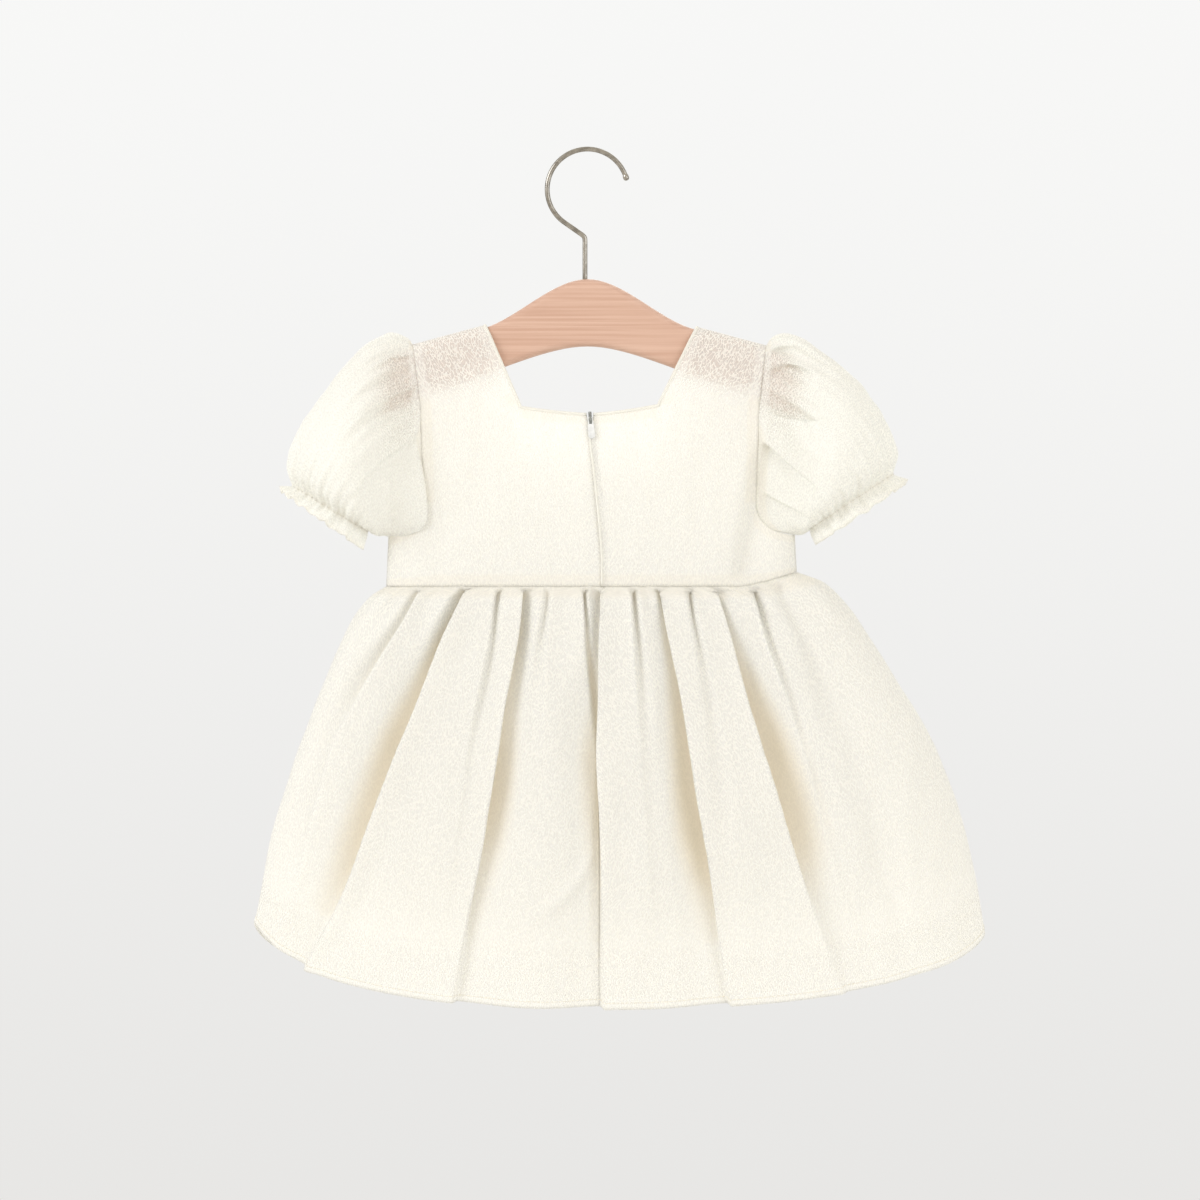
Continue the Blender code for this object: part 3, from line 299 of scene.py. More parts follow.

# %% [markdown]
# ## Embossed lace cloth
# The real cloth is a fine cream ground with raised threads that wander like a labyrinth, under 1 mm
# wide and about 1.5 mm apart, and longer up the cloth than across it. It could be a picture, but a
# formula has no edges and any size. The contour lines of a soft noise wander in just this way: where
# the noise is near its middle value, the thread lies. The ground between the threads lets light
# through, so the wood shows behind the straps. A number on each point, "layers", says how many
# layers of cloth lie there: the more there are, the less light comes through and the warmer it is.
# On the skirt the number also rises in the folds' valleys as painted shade: the warm tint there
# stands for the shade that falls in the valleys.

# %% Lace material
THREAD_SPACING = 1.5      # size of one cell of the noise, about from thread to thread
THREAD_STRETCH = 0.5      # the labyrinth is longer up the cloth than across
THREAD_HALF = 0.07        # how far from the middle value of the noise the thread ends
WARM_LIGHT = "#FEFDF8"    # light that has come through the cloth is a little warmer
LAYERS_AND_VALLEY_SHADE = "#F5EBD8"   # painted warm shade: the tint where cloth lies in many layers and in the skirt's fold valleys
TINT_START = 2.3          # number of layers at which that tint begins
TINT_END = 4.3            # and at which it is full


def flat_cloth(tree):
    """Vector in thread spacings on the cloth's own UVs, for panels that were cut flat."""
    cloth = add_node(tree, "ShaderNodeUVMap", {"uv_map": "cloth"})
    per_metre = 1000.0 / THREAD_SPACING
    scale = (per_metre, per_metre * THREAD_STRETCH, 1.0)
    scaled = add_node(tree, "ShaderNodeMapping", {"Scale": scale, "Location": (0.0, 0.0, 0.37)},
                      {"Vector": cloth.outputs["UV"]})
    return scaled.outputs["Vector"]


def puffed_cloth(tree):
    """Vector in thread spacings in space, for a sleeve that no flat pattern fits without shear."""
    place = add_node(tree, "ShaderNodeTexCoord")
    per_metre = 1000.0 / THREAD_SPACING
    scale = (per_metre, per_metre, per_metre * (1.0 + THREAD_STRETCH) / 2.0)
    scaled = add_node(tree, "ShaderNodeMapping", {"Scale": scale}, {"Vector": place.outputs["Object"]})
    return scaled.outputs["Vector"]


def labyrinth(tree, vector):
    """Socket that is 1 on the raised threads and 0 on the ground between them."""
    wander = add_node(tree, "ShaderNodeTexNoise", {"Scale": 1.0, "Detail": 0.6}, {"Vector": vector})
    middle = add_node(tree, "ShaderNodeMath", {"operation": "SUBTRACT", 1: 0.5},
                      {0: wander.outputs["Fac"]})
    beside = add_node(tree, "ShaderNodeMath", {"operation": "ABSOLUTE"}, {0: middle.outputs["Value"]})
    edge = add_node(tree, "ShaderNodeMapRange",
                    {"interpolation_type": "SMOOTHSTEP", "From Min": THREAD_HALF * 0.45,
                     "From Max": THREAD_HALF * 1.3, "To Min": 1.0, "To Max": 0.0},
                    {"Value": beside.outputs["Value"]})
    return edge.outputs["Result"]


def lace(name, vector_of, colors, covers, glow):
    """Cream lace; the colours and the covers are those of the ground and then of the thread.

    A cover is how much of the light one face stops, and glow is the share of the light that the
    cloth scatters through to its other side.
    """
    material, tree, output = new_material(name)
    thread = labyrinth(tree, vector_of(tree))
    layers = add_node(tree, "ShaderNodeAttribute", {"attribute_name": "layers"})
    # mask of the warm tint: real layers of cloth, plus the painted shade of the skirt's fold valleys
    layers_and_shade_mask = add_node(tree, "ShaderNodeMapRange", {"From Min": TINT_START, "From Max": TINT_END},
                       {"Value": layers.outputs["Fac"]})
    single = add_node(tree, "ShaderNodeMix", {"data_type": "RGBA", 6: linear(colors[0]),
                                              7: linear(colors[1])}, {0: thread})
    color = add_node(tree, "ShaderNodeMix", {"data_type": "RGBA", 7: linear(LAYERS_AND_VALLEY_SHADE)},
                     {0: layers_and_shade_mask.outputs["Result"], 6: single.outputs[2]})
    bump = add_node(tree, "ShaderNodeBump", {"Strength": 0.2, "Distance": 0.00013}, {"Height": thread})
    cloth = add_node(tree, "ShaderNodeBsdfPrincipled",
                     {"Roughness": 0.6, "IOR": 1.5, "Specular IOR Level": 0.35, "Sheen Weight": 0.15,
                      "Sheen Roughness": 0.4},
                     {"Base Color": color.outputs[2], "Normal": bump.outputs["Normal"]})
    through = add_node(tree, "ShaderNodeBsdfTranslucent", {"Color": linear(WARM_LIGHT)})
    body = add_node(tree, "ShaderNodeMixShader", {0: glow},
                    {1: cloth.outputs["BSDF"], 2: through.outputs["BSDF"]})
    gap = add_node(tree, "ShaderNodeMapRange", {"To Min": 1.0 - covers[0], "To Max": 1.0 - covers[1]},
                   {"Value": thread})
    open_share = add_node(tree, "ShaderNodeMath", {"operation": "POWER"},
                          {0: gap.outputs["Result"], 1: layers.outputs["Fac"]})
    clear = add_node(tree, "ShaderNodeBsdfTransparent")
    surface = add_node(tree, "ShaderNodeMixShader", {}, {0: open_share.outputs["Value"],
                                                         1: body.outputs["Shader"],
                                                         2: clear.outputs["BSDF"]})
    tree.links.new(surface.outputs["Shader"], output.inputs["Surface"])
    return material


body_lace = lace("embossed lace cloth", flat_cloth, ("#FDFDFB", "#F9F8F3"), (0.5, 0.93), 0.34)
sleeve_lace = lace("sheer embossed lace cloth", puffed_cloth, ("#FDFEFC", "#F9F9F5"), (0.5, 0.92), 0.38)
print("Lace materials:", body_lace.name, "and", sleeve_lace.name)

# %% [markdown]
# ## Plain cloths
# The lining is a plain fine weave, and the turned edges at the neck and the zip are drawn with the
# same weave. It is two sets of threads at right angles, so two waves multiplied make it.

# %% Lining material
WEAVE_SPACING = 0.6       # coarser than the real 0.3 mm, so that it shows


def plain_weave(name, color, cover):
    """Fine plain weave, one thread over and one under."""
    material, tree, output = new_material(name)
    cloth = add_node(tree, "ShaderNodeUVMap", {"uv_map": "cloth"})
    parts = add_node(tree, "ShaderNodeSeparateXYZ", {}, {"Vector": cloth.outputs["UV"]})
    per_metre = 2000.0 * math.pi / WEAVE_SPACING
    waves = []
    for axis in ("X", "Y"):
        turn = add_node(tree, "ShaderNodeMath", {"operation": "MULTIPLY", 1: per_metre},
                        {0: parts.outputs[axis]})
        wave = add_node(tree, "ShaderNodeMath", {"operation": "SINE"}, {0: turn.outputs["Value"]})
        waves.append(wave.outputs["Value"])
    weave = add_node(tree, "ShaderNodeMath", {"operation": "MULTIPLY"}, {0: waves[0], 1: waves[1]})
    bump = add_node(tree, "ShaderNodeBump", {"Strength": 0.3, "Distance": 0.0001},
                    {"Height": weave.outputs["Value"]})
    shade = add_node(tree, "ShaderNodeBsdfPrincipled",
                     {"Base Color": linear(color), "Roughness": 0.7, "Specular IOR Level": 0.3,
                      "Sheen Weight": 0.15, "Sheen Roughness": 0.5},
                     {"Normal": bump.outputs["Normal"]})
    through = add_node(tree, "ShaderNodeBsdfTranslucent", {"Color": linear(color)})
    body = add_node(tree, "ShaderNodeMixShader", {0: 0.35},
                    {1: shade.outputs["BSDF"], 2: through.outputs["BSDF"]})
    clear = add_node(tree, "ShaderNodeBsdfTransparent")
    surface = add_node(tree, "ShaderNodeMixShader", {0: cover}, {1: clear.outputs["BSDF"],
                                                                 2: body.outputs["Shader"]})
    tree.links.new(surface.outputs["Shader"], output.inputs["Surface"])
    return material


lining_cloth = plain_weave("plain woven lining", "#FCFBF5", 0.85)
edge_cloth = plain_weave("turned edge of plain cloth", "#FEFDF7", 1.0)
print("Plain cloths:", lining_cloth.name, "and", edge_cloth.name)

# %% [markdown]
# ## Wood, steel and zip
# The hanger is a light hardwood, sanded and clear coated: fine grain lines run along its arms, and
# the coat gives it a soft gloss. The hook is brushed steel wire with dull bright lines, the slider
# is plated zinc with a grey gloss, the pull tab is zinc with a pale glossy coating, and the zip's
# coil and tape are white nylon. One recipe makes them all: a noise on the object's own coordinates,
# stretched along the grain, mixes two close colours and raises the surface a little.

# %% Hanger and zip materials
def object_noise(tree, scale, detail):
    """Noise on Object coordinates, stretched by the scale of each axis."""
    place = add_node(tree, "ShaderNodeTexCoord")
    spread = add_node(tree, "ShaderNodeMapping", {"Scale": scale}, {"Vector": place.outputs["Object"]})
    return add_node(tree, "ShaderNodeTexNoise", {"Scale": 1.0, "Detail": detail},
                    {"Vector": spread.outputs["Vector"]}).outputs["Fac"]


def grained(name, dark, light, scale, bump_distance, shading):
    """Finish with a streaked grain in its colour and its surface; the bump's height is in metres."""
    material, tree, output = new_material(name)
    grain = object_noise(tree, scale, 4.0)
    spread = add_node(tree, "ShaderNodeMapRange", {"From Min": 0.35, "From Max": 0.65},
                      {"Value": grain})
    color = add_node(tree, "ShaderNodeMix", {"data_type": "RGBA", 6: linear(dark), 7: linear(light)},
                     {0: spread.outputs["Result"]})
    bump = add_node(tree, "ShaderNodeBump", {"Strength": 0.3, "Distance": bump_distance},
                    {"Height": grain})
    shade = add_node(tree, "ShaderNodeBsdfPrincipled", shading,
                     {"Base Color": color.outputs[2], "Normal": bump.outputs["Normal"]})
    tree.links.new(shade.outputs["BSDF"], output.inputs["Surface"])
    return material


WOOD_GRAIN = (9.0, 260.0, 620.0)   # noise cells in a metre: grain lines 100 mm long and 2 mm apart
wood_finish = grained("clear coated light hardwood", "#C7A08B", "#D6B29E", WOOD_GRAIN, 0.0001,
                      {"Roughness": 0.42, "IOR": 1.5, "Coat Weight": 0.2, "Coat Roughness": 0.25})
steel_finish = grained("brushed steel wire", "#8B867E", "#ACA79E", (300.0, 300.0, 300.0), 0.00001,
                       {"Roughness": 0.3, "Metallic": 1.0})
slider_finish = grained("grey plated zinc", "#8C9091", "#AEB2B2", (400.0, 400.0, 900.0), 0.00002,
                        {"Roughness": 0.35, "Metallic": 1.0})
tab_finish = grained("white coated zinc", "#D9DBDB", "#EEEFEF", (300.0, 300.0, 300.0), 0.00002,
                     {"Roughness": 0.3, "IOR": 1.5, "Coat Weight": 0.3, "Coat Roughness": 0.1})
coil_finish = grained("white nylon", "#E9E6DC", "#F4F2EA", (700.0, 700.0, 700.0), 0.00005,
                      {"Roughness": 0.5, "IOR": 1.53})
for finish in (wood_finish, steel_finish, slider_finish, tab_finish, coil_finish):
    print("Finish:", finish.name)

# %% [markdown]
# ## The bodice's measures
# The bodice is three panels round a flattened ring: two back halves with the zip between them, and
# one front. Each half of the body has its own measures, because the dress hangs a little askew.
# The zip slants to the right on its way down, and so does the middle of every ring.

# %% Bodice measures
CLOTH = 0.7               # thickness that shows at the edges
WAIST_Z = -287.0          # the waist seam
UNDERARM_Z = -253.0       # the top of the side seam
ARMHOLE_TURN_Z = -233.0   # below this the armhole turns towards the side seam
BACK_NECK_Z = -173.9      # the middle of the back neckline
FRONT_NECK_Z = -195.0     # the front neckline is level
NECK_CURVE = 1.5          # the back neckline bends up towards its corners
FRONT_NECK_EXTRA = 2.0    # the front neckline is wider by this on each side
FRONT_CENTRE_X = 3.0      # the middle of the front
SHOULDER_START_X = 67.0   # the inner edge of the straps on the wood
SHOULDER_SLOPE = -0.27    # the straps slope as the wood does
STRAP_ARCH = 8.4          # radius of the strap where it bends over the wood
STRAP_TOP_Z = -114.2      # top of the straps at their inner edge
ROUNDNESS = 2.4           # power of the superellipse that every ring follows
QUARTER = 12              # steps from the centre to the side seam
NECK_STEP = 4             # step of the neckline's corner
ARM_STEP = 9              # step of the armhole's edge
UNDERARM_ROW = 3          # row of the armhole's underside
NECK_ROW = 7              # row of the neckline
ARCH_ROW = 11             # row from which the strap bends over the wood
SHOULDER_ROW = 15         # row on top of the shoulder
SEAM_GAP = 0.15           # each panel stays back this much from its seam line

SIDES = table(
    "sign side_waist side_arm arm_waist arm_low arm_neck arm_top neck_waist neck_low neck_top corner_z",
    (-1, 133.0, 131.5, 100.0, 108.0, 110.0, 115.2, 46.0, 43.9, 67.7, -169.3),
    (1, 138.3, 137.0, 98.0, 111.0, 113.0, 117.8, 52.0, 46.5, 72.3, -168.0),
)
centre_line = smooth_curve(table(
    "z x",
    (-287.0, 10.9), (-270.0, 10.9), (-250.0, 9.6), (-217.0, 6.3), (-190.0, 3.0), (-173.9, 1.65),
), "z", "x")
bodice_depth = smooth_curve(table(
    "z depth",
    (-287.0, 24.0), (-253.0, 20.0), (-220.0, 17.0), (-170.0, 14.0), (-114.0, 12.0),
), "z", "depth")
waist_height = smooth_curve(table(
    "x z",
    (-140.0, -287.0), (98.0, -287.0), (111.4, -284.9), (124.9, -281.5), (138.3, -277.5),
), "x", "z")

print("Waist, flat:", SIDES[0]["side_waist"] + SIDES[1]["side_waist"], "mm")

# %% [markdown]
# ## Creases of the back bodice
# The cloth of the back is pulled a little by the arms and the zip. A crease is a row too: where it
# starts and ends, how deep it is, and how far it reaches on both sides. The photograph shows one
# deep crease from the right armhole to the waist, and the others are faint.

# %% Creases
BODICE_CREASES = table(
    "top_x top_z bottom_x bottom_z depth reach_left reach_right",
    (112.0, -205.0, 99.0, -287.0, 6.5, 4.5, 17.0),
    (-104.0, -190.0, -98.0, -262.0, 2.0, 9.0, 7.0),
    (34.0, -196.0, 58.0, -262.0, 0.7, 9.0, 12.0),
    (-36.0, -205.0, -30.0, -280.0, 0.5, 10.0, 12.0),
    (-66.0, -186.0, -76.0, -250.0, 0.5, 12.0, 10.0),
    (84.0, -176.0, 74.0, -240.0, 0.6, 10.0, 9.0),
)


def bodice_crease(x, z):
    """How far the creases press the back bodice in."""
    total = 0.0
    for crease in BODICE_CREASES:
        along = (z - crease["top_z"]) / (crease["bottom_z"] - crease["top_z"])
        valley = mix(crease["top_x"], crease["bottom_x"], along)
        strength = soft_step((along + 0.25) / 0.4)
        if crease["depth"] < 1.0:
            strength *= soft_step((1.25 - along) / 0.4)
        share = hollow(x - valley, crease["reach_left"], crease["reach_right"])
        total += crease["depth"] * strength * share
    return total


print("Deep crease at the waist:", round(bodice_crease(99.0, WAIST_Z), 1), "mm")

# %% [markdown]
# ## Points of the bodice
# Every point is named by its step from the centre to the side seam, and by its row from the waist
# to the shoulder. That is how a pattern is drafted, and the CAD uses the same steps. The ring is a
# superellipse, which lies flatter on the back and the front than an ellipse does.

# %% Points of the bodice
def ring_depth(offset, half_width, depth):
    """Distance from the middle plane to the ring, beside its centre by offset."""
    share = min(1.0, abs(offset) / half_width)
    return depth * (1.0 - share ** ROUNDNESS) ** (1.0 / ROUNDNESS)


def side_seam(side, z):
    """Distance of the side seam from the middle at a height."""
    share = min(1.0, (z - WAIST_Z) / (UNDERARM_Z - WAIST_Z))
    return mix(side["side_waist"], side["side_arm"], share)


def bodice_across(side, face, step, z, rise):
    """Signed x of a step at a height; rise is 0 at the neck's corner and 1 at the shoulder."""
    below = soft_step((z - WAIST_Z) / (side["corner_z"] - WAIST_Z))
    extra = FRONT_NECK_EXTRA * (1.0 - rise) if face > 0 else 0.0
    neck = mix(mix(side["neck_waist"], side["neck_low"], below), side["neck_top"], rise) + extra
    if z < ARMHOLE_TURN_Z:
        arm = mix(side["arm_waist"], side["arm_low"], (z - WAIST_Z) / (ARMHOLE_TURN_Z - WAIST_Z))
    else:
        climb = (z - ARMHOLE_TURN_Z) / (side["corner_z"] - ARMHOLE_TURN_Z)
        arm = mix(mix(side["arm_low"], side["arm_neck"], min(1.0, climb)), side["arm_top"], rise)
    centre = centre_line(z) if face < 0 else FRONT_CENTRE_X
    if step <= NECK_STEP:
        return mix(centre, side["sign"] * neck, step / NECK_STEP)
    if step <= ARM_STEP:
        return side["sign"] * mix(neck, arm, (step - NECK_STEP) / (ARM_STEP - NECK_STEP))
    return side["sign"] * mix(arm, side_seam(side, z), (step - ARM_STEP) / (QUARTER - ARM_STEP))


def bodice_point(side, face, step, row):
    """Point of the bodice: side is a row of SIDES, and face is -1 on the back and 1 on the front."""
    neck_z = FRONT_NECK_Z
    if face < 0:
        neck_z = mix(BACK_NECK_Z, side["corner_z"], min(1.0, step / NECK_STEP) ** NECK_CURVE)
    if row <= UNDERARM_ROW:
        top_z = ARMHOLE_TURN_Z
        top_x = bodice_across(side, face, step, top_z, 0.0)
        if step > ARM_STEP:
            turn = 0.5 * math.pi * (step - ARM_STEP) / (QUARTER - ARM_STEP)
            top_z = ARMHOLE_TURN_Z + (UNDERARM_Z - ARMHOLE_TURN_Z) * math.sin(turn)
            reach = side["side_arm"] - side["arm_low"]
            top_x = side["sign"] * (side["side_arm"] - reach * math.cos(turn))
        waist_x = bodice_across(side, face, step, WAIST_Z, 0.0)
        z = mix(waist_height(waist_x), top_z, row / UNDERARM_ROW)
        x = bodice_across(side, face, step, z, 0.0)
        if step > ARM_STEP:
            x = mix(waist_x, top_x, row / UNDERARM_ROW)
    elif row <= NECK_ROW:
        z = mix(ARMHOLE_TURN_Z, neck_z, (row - UNDERARM_ROW) / (NECK_ROW - UNDERARM_ROW))
        x = bodice_across(side, face, step, z, 0.0)
    else:
        shoulder_x = bodice_across(side, face, step, side["corner_z"], 1.0)
        strap_top = STRAP_TOP_Z + SHOULDER_SLOPE * (abs(shoulder_x) - SHOULDER_START_X)
        arch_base = 1.0 - STRAP_ARCH / (strap_top - neck_z)
        if row <= ARCH_ROW:
            rise = arch_base * (row - NECK_ROW) / (ARCH_ROW - NECK_ROW)
        else:
            turn = 0.5 * math.pi * (row - ARCH_ROW) / (SHOULDER_ROW - ARCH_ROW)
            rise = arch_base + (1.0 - arch_base) * math.sin(turn)
        z = mix(neck_z, strap_top, rise)
        x = bodice_across(side, face, step, neck_z, rise)
    middle = centre_line(z)
    half_width = abs(side["sign"] * side_seam(side, z) - middle)
    out = ring_depth(x - middle, half_width, bodice_depth(z))
    if row > ARCH_ROW:
        out = STRAP_ARCH * math.cos(0.5 * math.pi * (row - ARCH_ROW) / (SHOULDER_ROW - ARCH_ROW))
    elif row > NECK_ROW:
        out = mix(out, STRAP_ARCH, soft_step((row - NECK_ROW) / (ARCH_ROW - NECK_ROW)))
    if face < 0 and row <= NECK_ROW and step < QUARTER:
        out -= bodice_crease(x, z) * soft_step(row / 0.8)
    return Vector((x, face * out, z))


print("Side of the waist:", bodice_point(SIDES[1], -1, QUARTER, 0))

# %% [markdown]
# ## Cutting the bodice panels
# A panel is a fine grid over the same steps as the CAD: from the centre to the side seam, and from
# the waist to the shoulder. The squares inside the neck and the armhole are cut away, as a maker
# cuts them from the cloth. At the zip the right half's edge laps over the left one and stands proud
# of it, which gives the seam its fine shade.

# %% Bodice panels
FINE = 8                  # grid squares in one CAD step
ZIP_MOUTH = 2.2           # half width of the opening above the slider
ZIP_LAP = 1.5             # the right edge laps this far over the left one
ZIP_LIFT = 1.3            # and stands this much proud of it
ZIP_ROLL = 3.5            # width over which the edges rise and sink
ZIP_NEAR = 9.0            # width over which the edges are moved sideways
ZIP_MOUTH_ROWS = 0.9      # rows over which they part below the neckline
ZIP_WAVE = 0.3            # the edges wave in and out by this on their way down
UNDER_BACK = 0.3          # the left edge stays back by this under the right one
UNDER_SINK = 0.2          # and lies deeper by this
SEAM_BAND = 7.0           # seam allowance inside, which doubles the cloth
LINED = 2.2               # the bodice below the straps has a second cloth inside
STEP_WIDTH = 12.0         # about the width of one step
ROW_HEIGHT = 15.0         # about the height of one row
LOW_ROW_HEIGHT = 12.0     # and of one below the underarm
FAR = 99.0                # stands for no seam near by


def in_bodice(step, row):
    """Whether a place on the grid is cloth, and not neck or armhole."""
    if step < NECK_STEP:
        return row < NECK_ROW
    if step < ARM_STEP:
        return row < SHOULDER_ROW
    return row < UNDERARM_ROW


def cloth_ripple(point, height, scale, stretch=1.0):
    """Small unevenness of hanging cloth, as a distance; stretch draws it out up and down."""
    place = Vector((point.x, point.y, point.z / stretch)) / scale
    return height * noise.noise(place + Vector((7.0, 3.0, 1.0)))


def bodice_layers(step, row):
    """The lined body, and seam allowances at the neck, armhole, side and waist."""
    if step < NECK_STEP:
        from_edge = ROW_HEIGHT * (NECK_ROW - row)
    elif row > UNDERARM_ROW:
        from_neck = STEP_WIDTH * (step - NECK_STEP) if row > NECK_ROW else FAR
        from_edge = min(STEP_WIDTH * (ARM_STEP - step), from_neck)
    else:
        from_edge = LOW_ROW_HEIGHT * (UNDERARM_ROW - row) if step > ARM_STEP else FAR
    from_edge = min(from_edge, ROW_HEIGHT * row)
    lined = mix(LINED, 1.0, soft_step((row - NECK_ROW - 0.3) / 1.8))
    return lined + 0.5 * soft_step((SEAM_BAND + 1.0 - from_edge) / 2.0)


def back_panel_point(side, step, row):
    """Back panel with its ripples; at the zip the right edge laps over the left one."""
    point = bodice_point(side, -1, step, row)
    calm = soft_step((QUARTER - step) / 2.0) * soft_step((SHOULDER_ROW - row) / 3.0) * soft_step(row)
    point.y -= calm * (cloth_ripple(point, 0.6, 22.0) + cloth_ripple(point, 0.5, 9.0, 5.0))
    if row <= NECK_ROW:
        mouth = soft_step((row - (NECK_ROW - ZIP_MOUTH_ROWS)) / ZIP_MOUTH_ROWS)
        beside = abs(point.x - centre_line(point.z))
        near = max(0.0, 1.0 - beside / ZIP_NEAR)
        lap = -ZIP_LAP if side["sign"] > 0 else UNDER_BACK
        point.x += side["sign"] * mix(lap, ZIP_MOUTH, mouth) * near
        lift = ZIP_LIFT if side["sign"] > 0 else -UNDER_SINK
        point.y -= lift * (1.0 - mouth) * soft_step(1.0 - beside / ZIP_ROLL)
        point.y += ZIP_WAVE * near * math.sin(row * 1.1 + side["sign"])
    if step > QUARTER - 0.5:
        point.x -= side["sign"] * SEAM_GAP * (step - QUARTER + 0.5) / 0.5
    return point


def front_panel_point(step, row):
    """step runs from -QUARTER at the left side seam to QUARTER at the right one."""
    side = SIDES[0] if step < 0 else SIDES[1]
    point = bodice_point(side, 1, abs(step), row)
    calm = soft_step((QUARTER - abs(step)) / 2.0) * soft_step((SHOULDER_ROW - row) / 3.0)
    calm *= soft_step(row)
    point.y += calm * (cloth_ripple(point, 0.7, 26.0) + cloth_ripple(point, 0.5, 10.0, 5.0))
    if abs(step) > QUARTER - 0.5:
        point.x -= side["sign"] * SEAM_GAP * (abs(step) - QUARTER + 0.5) / 0.5
    return point


bodice_pieces = {}
for name, side in (("bodice_back_left", SIDES[0]), ("bodice_back_right", SIDES[1])):
    bodice_pieces[name] = thicken(grid_piece(
        name + "_cloth", QUARTER * FINE, SHOULDER_ROW * FINE,
        lambda column, row: back_panel_point(side, column / FINE, row / FINE),
        body_lace,
        keep=lambda column, row: in_bodice(column / FINE, row / FINE),
        layers=lambda column, row: bodice_layers(column / FINE, row / FINE),
        flip=side["sign"] < 0,
    ), CLOTH)
bodice_pieces["bodice_front"] = thicken(grid_piece(
    "bodice_front_cloth", 2 * QUARTER * FINE, SHOULDER_ROW * FINE,
    lambda column, row: front_panel_point(column / FINE - QUARTER, row / FINE),
    body_lace,
    keep=lambda column, row: in_bodice(abs(column / FINE - QUARTER), row / FINE),
    layers=lambda column, row: bodice_layers(abs(column / FINE - QUARTER), row / FINE),
    flip=True,
), CLOTH)

# %% [markdown]
# ## Skirt
# The skirt is one wide ring of cloth gathered onto the waist: it falls in deep folds that spread
# towards the hem. Each fold is a row of a table: where its valley runs at the waist, in the middle
# and at the hem, how deep it is, and how far its valley reaches. Most folds lap over their own
# valley: the cloth beside the edge is shifted over it, and that gives the crisp edge of a real fold.

# %% Skirt measures
SKIRT_QUARTER = 156       # grid columns from the centre to a side seam
SKIRT_ROWS = 112          # grid rows from the waist to the hem
HEM_CENTRE_Z = -563.0     # the hem is lowest in the middle of the back and of the front
HEM_LEFT_Z = -508.5       # and rises to the side seams
HEM_RIGHT_Z = -513.8
HEM_ROUNDING = 1.35       # how early it rises; with 1 it would rise evenly
HEM_LIFT = 0.35           # a fold draws the hem up by this share of its depth
MID_SHARE = 0.4           # share of the way down at which a fold's middle is given
WAIST_REACH = 0.32        # a fold's reach at the waist, as a share of that in the middle
FOLD_START = 0.022        # share of the way down in which a fold begins
SIDE_CALM = 12.0          # folds fade out where the ring's depth is less than this
SKIRT_LENGTH = 275.0      # along the cloth, for distances from the hem
ROW_POWER = 1.12          # rows lie closer together near the waist
HEM_WIDTH = 5.0           # the narrow turned hem
HEM_PROUD = 0.35          # it is this much thicker than the cloth

SKIRT_SECTIONS = table(
    "share left_flare right_flare back_depth front_depth gather",
    (0.00, 0.0, 0.0, 24.0, 24.0, 0.5),
    (0.03, 9.9, 17.8, 29.0, 28.0, 1.8),
    (0.09, 19.8, 31.7, 34.0, 31.0, 1.5),
    (0.18, 30.4, 46.9, 39.0, 35.0, 0.7),
    (0.30, 42.2, 66.0, 45.0, 39.0, 0.0),
    (0.43, 53.5, 84.5, 51.0, 43.0, 0.0),
    (0.57, 64.7, 99.0, 56.0, 46.0, 0.0),
    (0.71, 73.9, 109.6, 60.0, 49.0, 0.0),
    (0.85, 80.9, 117.5, 63.0, 51.0, 0.0),
    (1.00, 87.1, 123.4, 65.0, 52.0, 0.0),
)
skirt = {column: smooth_curve(SKIRT_SECTIONS, "share", column) for column in list(SKIRT_SECTIONS[0])[1:]}
skirt_centre = smooth_curve(table("share x", (0.0, 10.9), (0.4, 8.0), (1.0, 8.3)), "share", "x")
print("Depth of the skirt at the hem:", skirt["back_depth"](1.0) + skirt["front_depth"](1.0), "mm")

# %% [markdown]
# ## Folds of the skirt
# The folds of the back are read off the photograph one by one. The front is out of sight, so its
# folds are of the same kind, in places of their own.

# %% Tables of folds
FOLD_COLUMNS = "waist_x mid_x hem_x waist_depth mid_depth hem_depth valley_side mid_reach hem_reach lap"
BACK_FOLDS = table(
    FOLD_COLUMNS,
    (-108.0, -163.0, -206.0, 7.0, 4.0, 1.0, -1, 13.0, 16.0, 5.0),
    (-79.0, -125.4, -183.0, 7.5, 15.0, 6.0, -1, 23.0, 30.0, 9.0),
    (-61.0, -80.0, -98.0, 6.5, 1.5, 0.0, 1, 7.0, 8.0, 4.0),
    (-42.0, -56.5, -88.0, 7.5, 11.0, 5.0, 1, 19.0, 30.0, 8.0),
    (-22.0, -28.0, -30.0, 4.5, 0.0, 0.0, -1, 6.0, 6.0, 3.0),
    (-4.5, 4.0, -2.0, 6.5, 1.5, 0.0, 1, 5.0, 5.0, 4.0),
    (9.4, 7.0, 14.0, 6.0, 8.5, 6.0, -1, 19.0, 24.0, 7.0),
    (27.0, 33.0, 44.0, 6.0, 1.0, 0.0, 1, 6.0, 8.0, 3.0),
    (46.5, 67.5, 95.0, 7.5, 15.0, 6.0, -1, 20.0, 30.0, 9.0),
    (64.5, 78.0, 96.0, 6.0, 1.5, 0.0, 1, 5.0, 7.0, 4.0),
    (84.0, 114.0, 165.0, 7.5, 12.0, 3.0, 1, 26.0, 34.0, 8.0),
    (107.0, 138.0, 190.0, 6.5, 2.0, 0.0, 1, 7.0, 9.0, 4.0),
    (125.0, 176.0, 214.0, 4.0, 4.0, 3.0, 0, 12.0, 14.0, 0.0),
)
